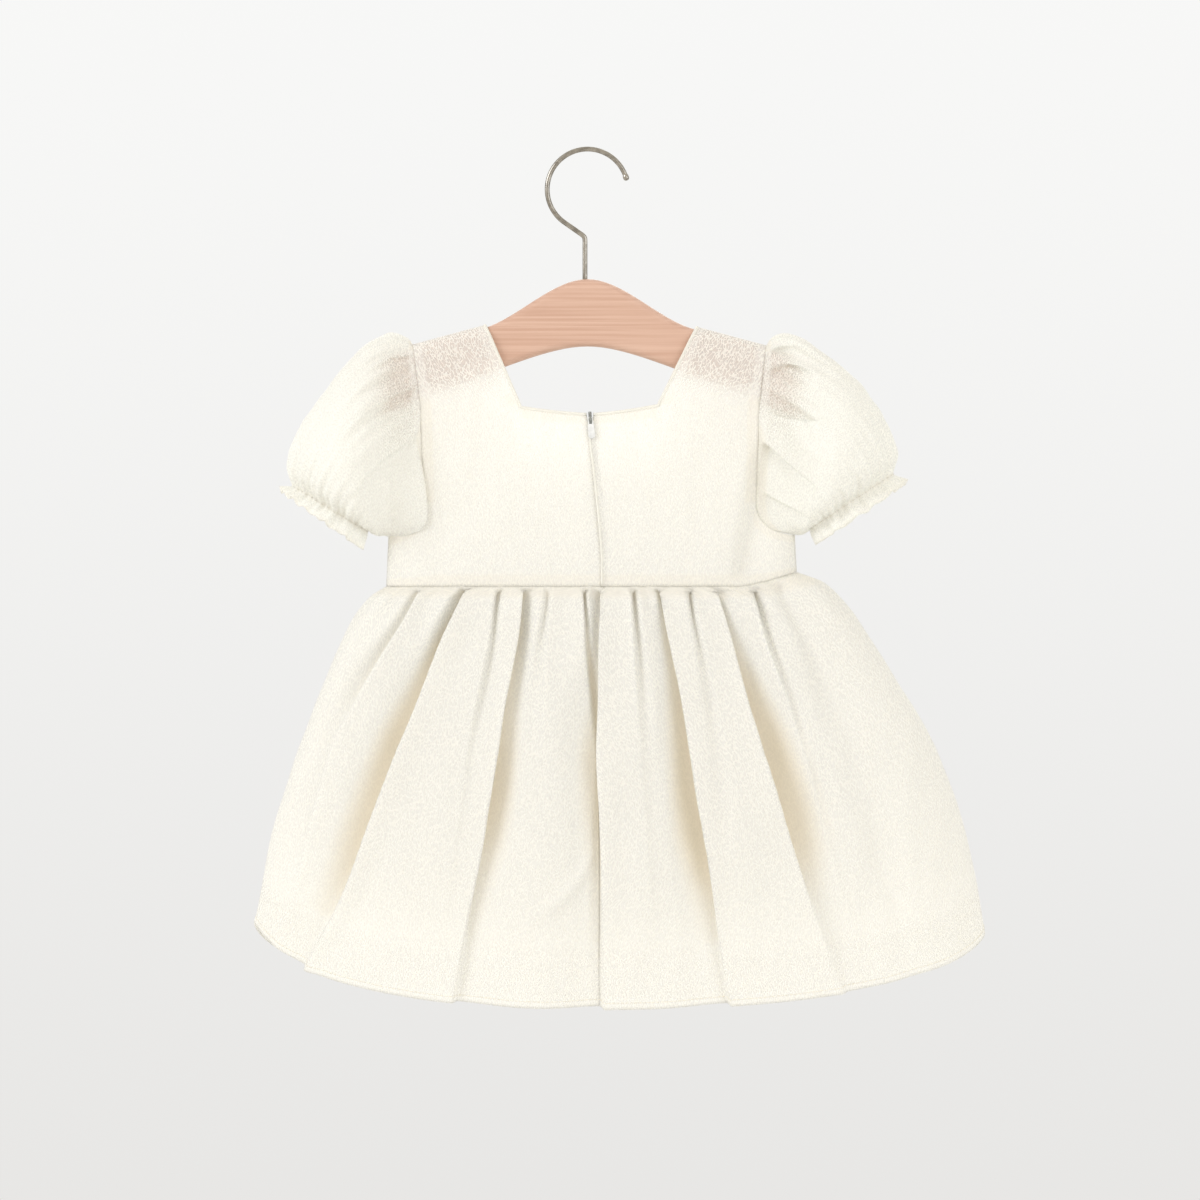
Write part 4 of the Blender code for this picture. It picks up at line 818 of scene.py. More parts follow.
FRONT_FOLDS = table(
    FOLD_COLUMNS,
    (-108.0, -152.0, -190.0, 4.0, 10.0, 3.0, 1, 17.0, 24.0, 7.0),
    (-80.0, -100.0, -122.0, 4.5, 2.0, 0.0, -1, 7.0, 8.0, 4.0),
    (-52.0, -64.0, -90.0, 5.0, 12.0, 5.0, -1, 19.0, 26.0, 8.0),
    (-24.0, -24.0, -32.0, 4.0, 1.5, 0.0, 1, 6.0, 8.0, 4.0),
    (4.0, 9.0, 18.0, 4.5, 11.0, 6.0, 1, 20.0, 26.0, 8.0),
    (36.0, 48.0, 62.0, 4.0, 2.0, 0.0, -1, 6.0, 8.0, 4.0),
    (64.0, 86.0, 118.0, 5.0, 12.0, 5.0, -1, 20.0, 28.0, 8.0),
    (94.0, 120.0, 152.0, 4.0, 2.0, 0.0, 1, 7.0, 8.0, 4.0),
    (116.0, 165.0, 205.0, 4.0, 9.0, 4.0, 0, 15.0, 18.0, 0.0),
)
MEANDER = 3.8             # how far a fold strays from its line
MEANDER_TURNS = 3.1       # how often it strays on its way down
HEM_LAP = 0.3             # share of the lap that is left at the hem
# A soft ridge that a pull in the cloth draws across the folds, from the centre to the left
PULL = smooth_curve(table(
    "x z",
    (-42.0, -506.0), (-30.0, -500.0), (-10.5, -485.0), (7.0, -458.0),
), "x", "z")
PULL_LEFT = -42.0
PULL_RIGHT = 9.0
PULL_HEIGHT = 1.7
PULL_WIDTH = 6.0
print("Folds:", len(BACK_FOLDS), "on the back and", len(FRONT_FOLDS), "on the front")

# %% [markdown]
# ## Shape of a fold
# A fold starts narrow in the gathers at the waist, is widest in the middle and flattens towards the
# hem. Real folds stray, so a slow noise moves each one a little off its line and changes its depth.

# %% Shape of the folds
def fold_shape(folds, x, share):
    """How far the folds press the cloth in at a place, and how far they shift it sideways."""
    pressed = 0.0
    shifted = 0.0
    for fold in folds:
        if share <= MID_SHARE:
            way = share / MID_SHARE
            valley = mix(fold["waist_x"], fold["mid_x"], way)
            deep = mix(fold["waist_depth"], fold["mid_depth"], way) * soft_step(share / FOLD_START)
            reach = fold["mid_reach"] * mix(WAIST_REACH, 1.0, soft_step(way))
        else:
            way = (share - MID_SHARE) / (1.0 - MID_SHARE)
            valley = mix(fold["mid_x"], fold["hem_x"], way)
            deep = mix(fold["mid_depth"], fold["hem_depth"], soft_step(way))
            reach = mix(fold["mid_reach"], fold["hem_reach"], way)
        if deep < 0.05:
            continue
        stray = noise.noise(Vector((fold["waist_x"], share * MEANDER_TURNS, 0.5)))
        valley += MEANDER * stray * soft_step(share / 0.15)
        deep *= 1.0 + 0.3 * noise.noise(Vector((share * 4.0, fold["hem_x"], 2.5)))
        if fold["valley_side"] == 0:
            pressed += deep * hollow(x - valley, reach, reach)
            continue
        lap = fold["lap"] * soft_step(deep / 7.0) * mix(1.0, HEM_LAP, soft_step((share - 0.7) / 0.3))
        edge = valley - fold["valley_side"] * (lap - EDGE_DROP - 1.0)
        down, over = lapped_fold((x - edge) * fold["valley_side"], reach, lap)
        pressed += deep * down
        shifted += fold["valley_side"] * over
    return pressed, shifted


def pull_ridge(point):
    """Height of the pull's ridge at a place on the back of the skirt."""
    if point.y > 0.0 or point.x < PULL_LEFT or point.x > PULL_RIGHT:
        return 0.0
    ends = soft_step((PULL_RIGHT - point.x) / 14.0) * soft_step((point.x - PULL_LEFT) / 26.0)
    return PULL_HEIGHT * ends * math.exp(-(((point.z - PULL(point.x)) / PULL_WIDTH) ** 2))


pressed, shifted = fold_shape(BACK_FOLDS, -135.0, MID_SHARE)
print("At x = -135 mm the folds press the cloth in by", round(pressed, 1), "mm")

# %% [markdown]
# ## Rings round the body
# The skirt widens from the waist to the hem in rings of the same superellipse as the bodice. Points
# at even distances along a ring keep the grid's squares even, also round the tight sides.

# %% Rings round the body
def quarter_ring(half_width, depth, steps):
    """Points of a quarter ring from its centre to its side, at even distances along it."""
    fine = 480
    outline = []
    for index in range(fine + 1):
        angle = 0.5 * math.pi * index / fine
        across = half_width * math.sin(angle) ** (2.0 / ROUNDNESS)
        out = depth * max(0.0, math.cos(angle)) ** (2.0 / ROUNDNESS)
        outline.append(Vector((across, out)))
    lengths = [0.0]
    for first, last in zip(outline, outline[1:]):
        lengths.append(lengths[-1] + (last - first).length)
    points = []
    place = 0
    for step in range(steps + 1):
        wanted = lengths[-1] * step / steps
        while place < fine - 1 and lengths[place + 1] < wanted:
            place += 1
        share = (wanted - lengths[place]) / (lengths[place + 1] - lengths[place])
        points.append(outline[place].lerp(outline[place + 1], min(1.0, share)))
    return points


def body_ring(share, left, right, back, front, steps):
    """Ring round the body: points from the back's centre by the left side, and each one's nearness
    to the middle of its face."""
    centre = skirt_centre(share)
    ring = []
    for sign, half_width, face, depth, inward in (
        (-1, left + centre, -1, back, False),
        (-1, left + centre, 1, front, True),
        (1, right - centre, 1, front, False),
        (1, right - centre, -1, back, True),
    ):
        quarter = quarter_ring(half_width, depth, steps)
        if inward:
            quarter = quarter[::-1]
        for point in quarter[:-1]:
            ring.append((Vector((centre + sign * point.x, face * point.y, 0.0)), point.y / depth))
    return ring


print("Points in a ring of the skirt:", len(body_ring(0.0, 133.0, 138.3, 24.0, 24.0, SKIRT_QUARTER)))

# %% [markdown]
# ## Every point of the skirt
# The rings, the folds, the fine gathers at the waist and a small unevenness are added up here. The
# result also keeps how far the folds press in, for the painted shade in the valleys that the cloth's
# finish counts as extra layers.

# %% Points of the skirt
def skirt_height(share, waist_x, x, nearness):
    """Height of a skirt point: the hem is lower in the middle of each face than at the sides."""
    side = soft_step(0.5 + (x - skirt_centre(share)) / 60.0)
    hem = mix(mix(HEM_LEFT_Z, HEM_RIGHT_Z, side), HEM_CENTRE_Z, nearness ** HEM_ROUNDING)
    return mix(waist_height(waist_x), hem, share)


BROAD_GATHERS = 32.0      # waves of cloth round the waist
FINE_GATHERS = 71.0       # finer ones close to the seam


def gather_wave(column, columns, share):
    """Uneven gathers: broad ones round the waist that run down, and finer ones near the seam."""
    turn = 2.0 * math.pi * column / columns
    drift = 1.3 * math.sin(3.0 * turn + 1.0) + 0.9 * math.sin(7.0 * turn) + 0.6 * math.sin(13.0 * turn)
    uneven = 0.65 + 0.35 * math.sin(9.0 * turn + 2.0) * math.sin(5.0 * turn)
    broad = math.cos(BROAD_GATHERS * turn + drift)
    fine = math.cos(FINE_GATHERS * turn + 2.0 * drift) * soft_step(1.0 - share / 0.1)
    return uneven * (broad + 0.5 * fine)


def skirt_points():
    """Every point of the skirt's outer face, by column round the body and row from the waist.

    With each one comes how far the folds press it in.
    """
    columns = 4 * SKIRT_QUARTER
    shares = [(row / SKIRT_ROWS) ** ROW_POWER for row in range(SKIRT_ROWS + 1)]
    rings = []
    for share in shares:
        left = SIDES[0]["side_waist"] + skirt["left_flare"](share)
        right = SIDES[1]["side_waist"] + skirt["right_flare"](share)
        rings.append(body_ring(share, left, right, skirt["back_depth"](share),
                               skirt["front_depth"](share), SKIRT_QUARTER))
    points = {}
    pressed_in = {}
    for row, share in enumerate(shares):
        gather = skirt["gather"](share)
        for column in range(columns):
            place = rings[row][column][0]
            beside = rings[row][(column + 1) % columns][0] - rings[row][column - 1][0]
            outward = Vector((-beside.y, beside.x, 0.0)).normalized()
            folds = BACK_FOLDS if place.y < 0 else FRONT_FOLDS
            calm = soft_step(abs(place.y) / SIDE_CALM)
            pressed, shifted = fold_shape(folds, place.x, share)
            pressed *= calm
            wave = gather * gather_wave(column, columns, share)
            height = skirt_height(share, rings[0][column][0].x, place.x, rings[-1][column][1])
            height += HEM_LIFT * pressed * share * share
            point = place + outward * (wave - pressed)
            point.x += shifted * calm
            point.z = height
            point += outward * pull_ridge(point)
            ripple = cloth_ripple(point, 1.4, 38.0, 1.5) + cloth_ripple(point, 0.7, 13.0, 5.0)
            ripple *= soft_step(share / 0.1)
            above_hem = (1.0 - share) * SKIRT_LENGTH
            hem = HEM_PROUD * soft_step((HEM_WIDTH + 1.0 - above_hem) / 1.5)
            points[(column, row)] = point + outward * (ripple + hem)
            pressed_in[(column, row)] = pressed
    return points, pressed_in


skirt_ring, skirt_pressed = skirt_points()
print("Deepest fold:", round(max(skirt_pressed.values()), 1), "mm")

# %% [markdown]
# ## Cutting the skirt panels
# The skirt's back has a seam under the zip, and side seams join it to the front. All panels are cut
# from the same ring of points, so they meet along their seams. Row 0 of each panel is its hem, so
# the UVs count up from the hem.

# %% Skirt panels
LINED_SKIRT = 2.1         # layers where the lining hangs behind the skirt
BARE_HEM = 1.1            # layers below the lining's edge
LINING_END = 0.84         # the lining's edge lies a little below this share of the way down


def skirt_panel_point(first, last, column, row):
    """Point of a panel between two columns, kept back a little from its seams."""
    columns = 4 * SKIRT_QUARTER
    down = SKIRT_ROWS - row
    point = skirt_ring[((first + column) % columns, down)].copy()
    if column == 0:
        inner = skirt_ring[((first + 1) % columns, down)]
        point += (inner - point).normalized() * SEAM_GAP
    elif column == last - first:
        inner = skirt_ring[((last - 1) % columns, down)]
        point += (inner - point).normalized() * SEAM_GAP
    if down == 0:
        point.z -= SEAM_GAP
    return point


def skirt_layers_and_fold_shade(pressed, row):
    """Layers of cloth in the turned hem and in the gathers at the waist, and painted shade in a fold's
    valley, given as extra layers.
    """
    share = (1.0 - row / SKIRT_ROWS) ** ROW_POWER
    hem = soft_step((HEM_WIDTH + 1.0 - (1.0 - share) * SKIRT_LENGTH) / 1.5)
    waist = soft_step((12.0 - share * SKIRT_LENGTH) / 8.0)
    dense = mix(LINED_SKIRT, BARE_HEM, soft_step((share - LINING_END) / 0.06))
    # painted shade: the deeper a fold's valley, the more layers it gets, which tints it warmer and
    # denser
    valley = soft_step((pressed - 2.5) / 9.5) * soft_step((1.1 - share) / 0.4)
    return dense + 0.9 * hem + 0.7 * waist + 2.0 * valley


skirt_pieces = {}
for name, first, last in (
    ("skirt_back_left", 0, SKIRT_QUARTER),
    ("skirt_front", SKIRT_QUARTER, 3 * SKIRT_QUARTER),
    ("skirt_back_right", 3 * SKIRT_QUARTER, 4 * SKIRT_QUARTER),
):
    skirt_pieces[name] = thicken(grid_piece(
        name + "_cloth", last - first, SKIRT_ROWS,
        lambda column, row: skirt_panel_point(first, last, column, row),
        body_lace,
        layers=lambda column, row: skirt_layers_and_fold_shade(
            skirt_pressed[((first + column) % (4 * SKIRT_QUARTER), SKIRT_ROWS - row)], row),
        flip=True,
    ), CLOTH)

# %% [markdown]
# ## Lining of the skirt
# Inside hangs a smooth slip, shorter than the skirt: its edge shows through the sheer cloth above
# the hem. It needs no folds of its own, only smaller rings of the same kind with a slight wave.

# %% Lining panels
LINING_QUARTER = 40
LINING_ROWS = 60
LINING_SEAT = 2.7         # from the skirt's outer face at the waist to the lining
lining = table(
    "share spread back_depth front_depth",
    (0.00, 0.45, 20.0, 20.0),
    (0.06, 0.45, 20.5, 20.5),
    (0.20, 0.50, 22.0, 21.5),
    (0.45, 0.55, 26.5, 24.0),
    (0.70, 0.58, 33.0, 29.0),
    (0.88, 0.60, 38.0, 33.0),
)
lining_curve = {}
for column in ("spread", "back_depth", "front_depth"):
    lining_curve[column] = smooth_curve(lining, "share", column)


def lining_points():
    """Every point of the lining's outer face, by column round the body and row from the waist."""
    points = {}
    end = lining[-1]["share"]
    rings = []
    for row in range(LINING_ROWS + 1):
        share = end * row / LINING_ROWS
        spread = lining_curve["spread"](share)
        left = SIDES[0]["side_waist"] - LINING_SEAT + spread * skirt["left_flare"](share)
        right = SIDES[1]["side_waist"] - LINING_SEAT + spread * skirt["right_flare"](share)
        rings.append(body_ring(share, left, right, lining_curve["back_depth"](share),
                               lining_curve["front_depth"](share), LINING_QUARTER))
    for row, ring in enumerate(rings):
        share = end * row / LINING_ROWS
        for column, (place, _) in enumerate(ring):
            point = place.copy()
            point.z = skirt_height(share, rings[0][column][0].x, place.x, rings[-1][column][1])
            beside = ring[(column + 1) % len(ring)][0] - ring[column - 1][0]
            outward = Vector((-beside.y, beside.x, 0.0)).normalized()
            sway = 1.6 * share * math.sin(2.0 * math.pi * 11.0 * column / len(ring) + 3.0 * share)
            points[(column, row)] = point + outward * sway
    return points


lining_ring = lining_points()
lining_pieces = {}
for name, first, last in (
    ("lining_back_left", 0, LINING_QUARTER),
    ("lining_front", LINING_QUARTER, 3 * LINING_QUARTER),
    ("lining_back_right", 3 * LINING_QUARTER, 4 * LINING_QUARTER),
):
    lining_pieces[name] = thicken(grid_piece(
        name + "_cloth", last - first, LINING_ROWS,
        lambda column, row: lining_ring[((first + column) % (4 * LINING_QUARTER), LINING_ROWS - row)],
        lining_cloth,
        flip=True,
    ), CLOTH)

# %% [markdown]
# ## Measures of the sleeves
# A puff sleeve is a tube that is gathered twice: onto the armhole, and again on an elastic thread
# just above its edge, where a small ruffle stands out. Rings from the armhole to the ruffle carry
# the form. Each ring's top and underside are given as seen from the back, with its half depth.
# Pleats run from the armhole outwards; an angle of 0 is the shoulder and 90 the middle of the back.

# %% Sleeve measures
SLEEVE_GAP = 0.25         # the sleeve's edge stays back this much from the armhole's
LEFT_RINGS = table(
    "top_x top_z under_x under_z depth blend head cuff",
    (-120.5, -123.8, -133.0, -253.5, 17.0, 0.35, 1.3, 0.0),
    (-131.7, -121.8, -134.5, -254.0, 24.0, 0.75, 1.9, 0.0),
    (-148.8, -131.0, -136.0, -254.3, 34.0, 1.00, 1.1, 0.0),
    (-166.0, -148.8, -137.5, -254.3, 40.0, 1.00, 0.4, 0.0),
    (-181.2, -169.3, -139.0, -254.0, 42.0, 1.00, 0.0, 0.3),
    (-191.7, -187.8, -140.5, -253.3, 40.0, 1.00, 0.0, 0.8),
    (-197.7, -206.3, -142.0, -252.3, 34.0, 1.00, 0.0, 1.5),
    (-194.4, -220.8, -144.0, -251.5, 25.0, 1.00, 0.0, 1.3),
    (-203.0, -222.8, -148.0, -263.0, 30.0, 1.00, 0.0, 3.0),
)
RIGHT_RINGS = table(
    "top_x top_z under_x under_z depth blend head cuff",
    (123.8, -123.1, 138.6, -253.3, 17.0, 0.35, 1.3, 0.0),
    (135.0, -122.4, 140.0, -253.3, 24.0, 0.75, 1.9, 0.0),
    (152.1, -131.0, 141.2, -253.0, 34.0, 1.00, 1.1, 0.0),
    (170.0, -144.2, 142.3, -252.6, 40.0, 1.00, 0.4, 0.0),
    (185.1, -159.4, 143.3, -252.0, 42.0, 1.00, 0.0, 0.3),
    (196.4, -178.5, 144.3, -251.2, 40.0, 1.00, 0.0, 0.8),
    (203.6, -198.3, 145.2, -250.2, 34.0, 1.00, 0.0, 1.5),
    (201.6, -212.9, 146.4, -249.3, 25.0, 1.00, 0.0, 1.3),
    (210.9, -218.1, 151.0, -259.5, 30.0, 1.00, 0.0, 3.0),
)
PLEAT_COLUMNS = "first_angle last_angle last_ring depth reach lap valley_side rise"
LEFT_PLEATS = table(
    PLEAT_COLUMNS,
    (48.0, 40.0, 3.0, 1.6, 8.0, 3.0, 1, 1.4),
    (74.0, 70.0, 5.0, 2.2, 10.0, 4.0, 1, 1.4),
    (104.0, 112.0, 6.0, 2.6, 12.0, 4.0, 1, 0.9),
    (285.0, 280.0, 5.0, 2.5, 10.0, 4.0, 1, 1.4),
)
RIGHT_PLEATS = table(
    PLEAT_COLUMNS,
    (40.0, 18.0, 3.8, 3.0, 9.0, 5.0, 1, 1.6),
    (64.0, 40.0, 3.4, 5.0, 12.0, 8.0, 1, 2.2),
    (101.0, 66.0, 4.2, 5.0, 13.0, 8.0, -1, 2.2),
    (113.0, 118.0, 4.6, 5.5, 13.0, 8.0, 1, 0.8),
    (136.0, 150.0, 6.0, 3.0, 11.0, 5.0, 1, 0.8),
    (275.0, 268.0, 5.0, 3.5, 11.0, 5.0, 1, 1.6),
)
SLEEVE_COLUMNS = 330
RING_FINE = 9             # grid rows between two rings
ELASTIC_RING = 8          # the elastic lies on this ring, one before the edge
print("Rings, left and right:", len(LEFT_RINGS), len(RIGHT_RINGS))
print("Pleats, left and right:", len(LEFT_PLEATS), len(RIGHT_PLEATS))

# %% [markdown]
# ## Smooth tube of a sleeve
# The sleeve starts on the armhole's own edge, so that no gap shows, and runs over its rings. Smooth
# curves are laid through both: a closed one round the armhole and open ones along the sleeve.

# %% Tube of the sleeve
def armhole_edge(side):
    """Points round the armhole from the shoulder by way of the back, with the way into the opening."""
    route = [(-1, ARM_STEP, row) for row in range(SHOULDER_ROW, UNDERARM_ROW, -1)]
    route += [(-1, step, UNDERARM_ROW) for step in range(ARM_STEP, QUARTER + 1)]
    route += [(1, step, row) for _, step, row in reversed(route[1:-1])]
    points = [bodice_point(side, face, step, row) for face, step, row in route]
    middle = sum(points, Vector()) / len(points)
    edge = []
    for place, point in enumerate(points):
        ahead = points[(place + 1) % len(points)]
        behind = points[place - 1]
        along = (ahead - behind).normalized()
        way = middle - point
        way = (way - along * way.dot(along)).normalized()
        edge.append(point + way * SLEEVE_GAP)
    return edge


def round_spline(points, place):
    """Point on a smooth closed curve through the points; place counts in points."""
    number = int(math.floor(place))
    t = place - number
    a, b, c, d = (points[(number + step) % len(points)] for step in (-1, 0, 1, 2))
    return 0.5 * (2.0 * b + (c - a) * t + (2.0 * a - 5.0 * b + 4.0 * c - d) * t * t
                  + (3.0 * b - a - 3.0 * c + d) * t * t * t)


def open_spline(points, place):
    """Point on a smooth curve from the first point to the last; place counts in points."""
    last = len(points) - 1
    number = min(int(place), last - 1)
    t = place - number
    b = points[number]
    c = points[number + 1]
    a = points[number - 1] if number > 0 else 2.0 * b - c
    d = points[number + 2] if number + 2 <= last else 2.0 * c - b
    return 0.5 * (2.0 * b + (c - a) * t + (2.0 * a - 5.0 * b + 4.0 * c - d) * t * t
                  + (3.0 * b - a - 3.0 * c + d) * t * t * t)


def sleeve_points(side, rings):
    """Smooth tube of the sleeve, before its gathers and pleats."""
    edge = armhole_edge(side)
    half = len(edge) // 2
    rows = len(rings) * RING_FINE
    points = {}
    for column in range(SLEEVE_COLUMNS):
        turn = 2.0 * math.pi * column / SLEEVE_COLUMNS
        start = round_spline(edge, len(edge) * column / SLEEVE_COLUMNS)
        spine = [start]
        for ring in rings:
            top = Vector((ring["top_x"], 0.0, ring["top_z"]))
            under = Vector((ring["under_x"], 0.0, ring["under_z"]))
            round_point = (top + under) / 2.0 + (top - under) * (math.cos(turn) / 2.0)
            round_point.y = -ring["depth"] * math.sin(turn)
            above = (1.0 + math.cos(turn)) / 2.0
            moved = start + (top - edge[0]) * above + (under - edge[half]) * (1.0 - above)
            spine.append(moved.lerp(round_point, ring["blend"]))
        for row in range(rows + 1):
            points[(column, row)] = open_spline(spine, row / RING_FINE)
    return points


def tube_normals(points, columns, rows, sign):
    """Outward direction at each point of a tube."""
    normals = {}
    for column in range(columns):
        for row in range(rows + 1):
            around = points[((column + 1) % columns, row)] - points[((column - 1) % columns, row)]
            along = points[(column, min(row + 1, rows))] - points[(column, max(row - 1, 0))]
            normals[(column, row)] = (along.cross(around) * sign).normalized()
    return normals


print("Points round the left armhole:", len(armhole_edge(SIDES[0])))

# %% [markdown]
# ## Gathers, pleats and ruffle
# Each point of the smooth tube moves out or in: by the gathers at the sleeve's head, by the puckers
# at the elastic, by the ruffle's waves and by the pleats, whose edges lap over like the skirt's
# folds. The left sleeve also sags over the armhole in a pouch, as the photograph shows.

# %% Sleeves
SLEEVE_WAVES = 15.0       # broad waves round a sleeve, in its gathers, puckers and ruffle alike
HEAD_WAVES = 34.0         # finer ones at the head
PUCKER_WAVES = 37.0       # at the elastic
RUFFLE_WAVES = 23.0       # and in the ruffle
ELASTIC_GROOVE = 0.8      # the elastic draws the cloth in by this
POUCH_ANGLE = 137.0       # the pouch hangs at the lower back of the sleeve
POUCH_SPREAD = 27.0


def sleeve_grid(side, rings, pleats, pouch):
    """Sleeve with its gathers, pleats and ruffle; pouch is how far it sags over the armhole."""
    rows = len(rings) * RING_FINE
    points = sleeve_points(side, rings)
    normals = tube_normals(points, SLEEVE_COLUMNS, rows, -side["sign"])
    numbered = [dict(ring, number=number) for number, ring in enumerate(rings, start=1)]
    head = smooth_curve(table("number head", (0, 0.0)) + numbered, "number", "head")
    cuff = smooth_curve(table("number cuff", (0, 0.0)) + numbered, "number", "cuff")
    finished = {}
    for (column, row), point in points.items():
        ring = row / RING_FINE
        turn = 2.0 * math.pi * column / SLEEVE_COLUMNS
        raised = math.cos(turn)
        upper = soft_step((raised + 0.6) / 0.8)
        tucked = mix(0.25, 1.0, soft_step((raised + 1.0) / 0.5))
        drift = 0.7 * math.sin(2.0 * turn + side["sign"]) + 0.4 * math.sin(5.0 * turn)
        broad = SLEEVE_WAVES * turn
        head_wave = 0.6 * math.cos(broad + drift) + 0.5 * math.cos(HEAD_WAVES * turn + 2.0 * drift)
        pucker = 0.5 * math.cos(broad) + 0.5 * math.cos(PUCKER_WAVES * turn + drift)
        ruffle = 0.55 * math.cos(broad + 1.6 * drift) + 0.3 * math.cos(RUFFLE_WAVES * turn - drift)
        cuff_wave = mix(pucker, ruffle, soft_step(ring - ELASTIC_RING))
        height = head(ring) * upper * head_wave + cuff(ring) * tucked * cuff_wave
        pinch = math.exp(-(((ring - ELASTIC_RING) / 0.22) ** 2))
        height -= ELASTIC_GROOVE * pinch
        shifted = 0.0
        angle = math.degrees(turn)
        for pleat in pleats:
            way = min(1.0, ring / pleat["last_ring"])
            edge = mix(pleat["first_angle"], pleat["last_angle"], way)
            fade = soft_step(2.2 * (1.0 - way)) * soft_step(ring / pleat["rise"])
            lap = pleat["lap"] * fade
            beside = 0.8 * (pleat["valley_side"] * (angle - edge) + lap - EDGE_DROP)
            down, over = lapped_fold(beside, 0.8 * pleat["reach"], lap)
            height -= pleat["depth"] * fade * down
            shifted += pleat["valley_side"] * over
        height += cloth_ripple(point, 1.0, 18.0) * soft_step(ring / 1.5)
        height += cloth_ripple(point, 0.5, 8.0) * soft_step(ring / 1.5)
        place = column + shifted * SLEEVE_COLUMNS / 360.0
        number = math.floor(place)
        part = place - number
        here = (number % SLEEVE_COLUMNS, row)
        ahead = ((number + 1) % SLEEVE_COLUMNS, row)
        surface = points[here].lerp(points[ahead], part)
        outward = normals[here].lerp(normals[ahead], part)
        sag = math.exp(-(((angle - POUCH_ANGLE) / POUCH_SPREAD) ** 2) - ((ring - 1.0) / 0.8) ** 2)
        sag *= soft_step(ring / 0.5)
        hang = Vector((-side["sign"] * pouch, -0.35 * pouch, -1.0 * pouch))
        finished[(column, row)] = surface + outward * height + hang * sag
    return finished


SLEEVE_LAYERS = 2.2       # as the sleeve's cloth looks, with its far side behind it
OVER_WOOD = 0.8           # one thin layer between the pleats, where the wood shows


def sleeve_layers(angle, ring, rings):
    """Layers in the seam, at the elastic and in the edge; one thin layer lies over the wood."""
    seam = soft_step((0.75 - ring) / 0.2)
    elastic = soft_step(1.0 - abs(ring - rings + 1.0) / 0.3)
    edge = soft_step((ring - rings + 0.3) / 0.15)
    over_wood = soft_step((3.0 - ring) / 1.2) * soft_step((angle - 30.0) / 14.0)
    over_wood *= soft_step((108.0 - angle) / 12.0)
    return mix(SLEEVE_LAYERS, OVER_WOOD, over_wood) + 0.6 * seam + 0.5 * elastic + 0.4 * edge


sleeve_pieces = {}
cuff_points = {}
for name, side, rings, pleats, pouch in (
    ("sleeve_left", SIDES[0], LEFT_RINGS, LEFT_PLEATS, 11.0),
    ("sleeve_right", SIDES[1], RIGHT_RINGS, RIGHT_PLEATS, 0.0),
):
    tube = sleeve_grid(side, rings, pleats, pouch)
    rows = len(rings) * RING_FINE
    cuff_points[name] = tube
    sleeve_pieces[name] = thicken(grid_piece(
        name + "_cloth", SLEEVE_COLUMNS, rows,
        lambda column, row: tube[(column % SLEEVE_COLUMNS, rows - row)],
        sleeve_lace,
        layers=lambda column, row: sleeve_layers(360.0 * column / SLEEVE_COLUMNS,
                                                 (rows - row) / RING_FINE, len(rings)),
        closed=True,
        flip=side["sign"] > 0,
    ), CLOTH)

# %% [markdown]
# ## Neckline edge
# The neckline is faced: the cloth is turned in at the edge, and the roll catches the light as a thin
# bright line. It could be left to the wall of the panels, but a narrow flat tube along the edge has
# the roll's true round section. It runs from the zip's left edge over both shoulders to its right one.

# %% Neckline edge
EDGE_HALF_WIDTH = 1.1
EDGE_HALF_HEIGHT = 0.8


def neck_side(side):
    """Stations from the back's centre over the shoulder to the front's centre: point and way out."""
    fine = 4
    stations = []
    for count in range(NECK_STEP * fine):
        stations.append((-1, count / fine, NECK_ROW))
    for count in range((SHOULDER_ROW - NECK_ROW) * fine):
        stations.append((-1, NECK_STEP, NECK_ROW + count / fine))
    for count in range((SHOULDER_ROW - NECK_ROW) * fine, 0, -1):
        stations.append((1, NECK_STEP, NECK_ROW + count / fine))
    for count in range(NECK_STEP * fine, 0, -1):
        stations.append((1, count / fine, NECK_ROW))
    route = []
    for face, step, row in stations:
        if face < 0:
            point = back_panel_point(side, step, row)
        else:
            point = front_panel_point(side["sign"] * step, row)
        turn = 0.5 * math.pi * max(0.0, row - ARCH_ROW) / (SHOULDER_ROW - ARCH_ROW)
        out = Vector((0.0, face * math.cos(turn), math.sin(turn)))
        route.append((point - out * (CLOTH / 2.0), out, EDGE_HALF_WIDTH, EDGE_HALF_HEIGHT))
    return route


neck_middle = front_panel_point(0.0, NECK_ROW)
neck_route = neck_side(SIDES[0])
neck_route.append((neck_middle - Vector((0.0, CLOTH / 2.0, 0.0)), Vector((0.0, 1.0, 0.0)),
                   EDGE_HALF_WIDTH, EDGE_HALF_HEIGHT))
neck_route += neck_side(SIDES[1])[::-1]
neck_edge = tube_piece("neckline_edge", neck_route, 8, edge_cloth)

# %% [markdown]
# ## Folded edge over the zip
# Under the slider the right half's edge is folded, and it laps over the left one. The fold is what
# the eye sees of an invisible zip: one straight crisp line. So it gets the same narrow tube as the
# neckline, from the slider down to the waist seam.

# %% Folded edge over the zip
FOLD_HALF_WIDTH = 0.75
FOLD_HALF_HEIGHT = 0.5
FOLD_STEPS = 53

fold_route = []
for count in range(FOLD_STEPS + 1):
    point = back_panel_point(SIDES[1], 0.0, mix(NECK_ROW - 0.95, 0.05, count / FOLD_STEPS))
    fold_route.append((point + Vector((0.0, CLOTH / 4.0, 0.0)), Vector((0.0, -1.0, 0.0)),
                       FOLD_HALF_WIDTH, FOLD_HALF_HEIGHT))
zip_edge = tube_piece("zip_folded_edge", fold_route, 8, edge_cloth)

# %% [markdown]
# ## Stitches
# A machine sews a row of short even stitches along the hem and along the elastic of each cuff. Each
# stitch is a small block of thread that lies along the cloth, so the row dimples as the real one does.

# %% Stitches
STITCH_WIDTH = 0.45
HEM_STITCH_HEIGHT = 4.4   # the row's distance above the hem


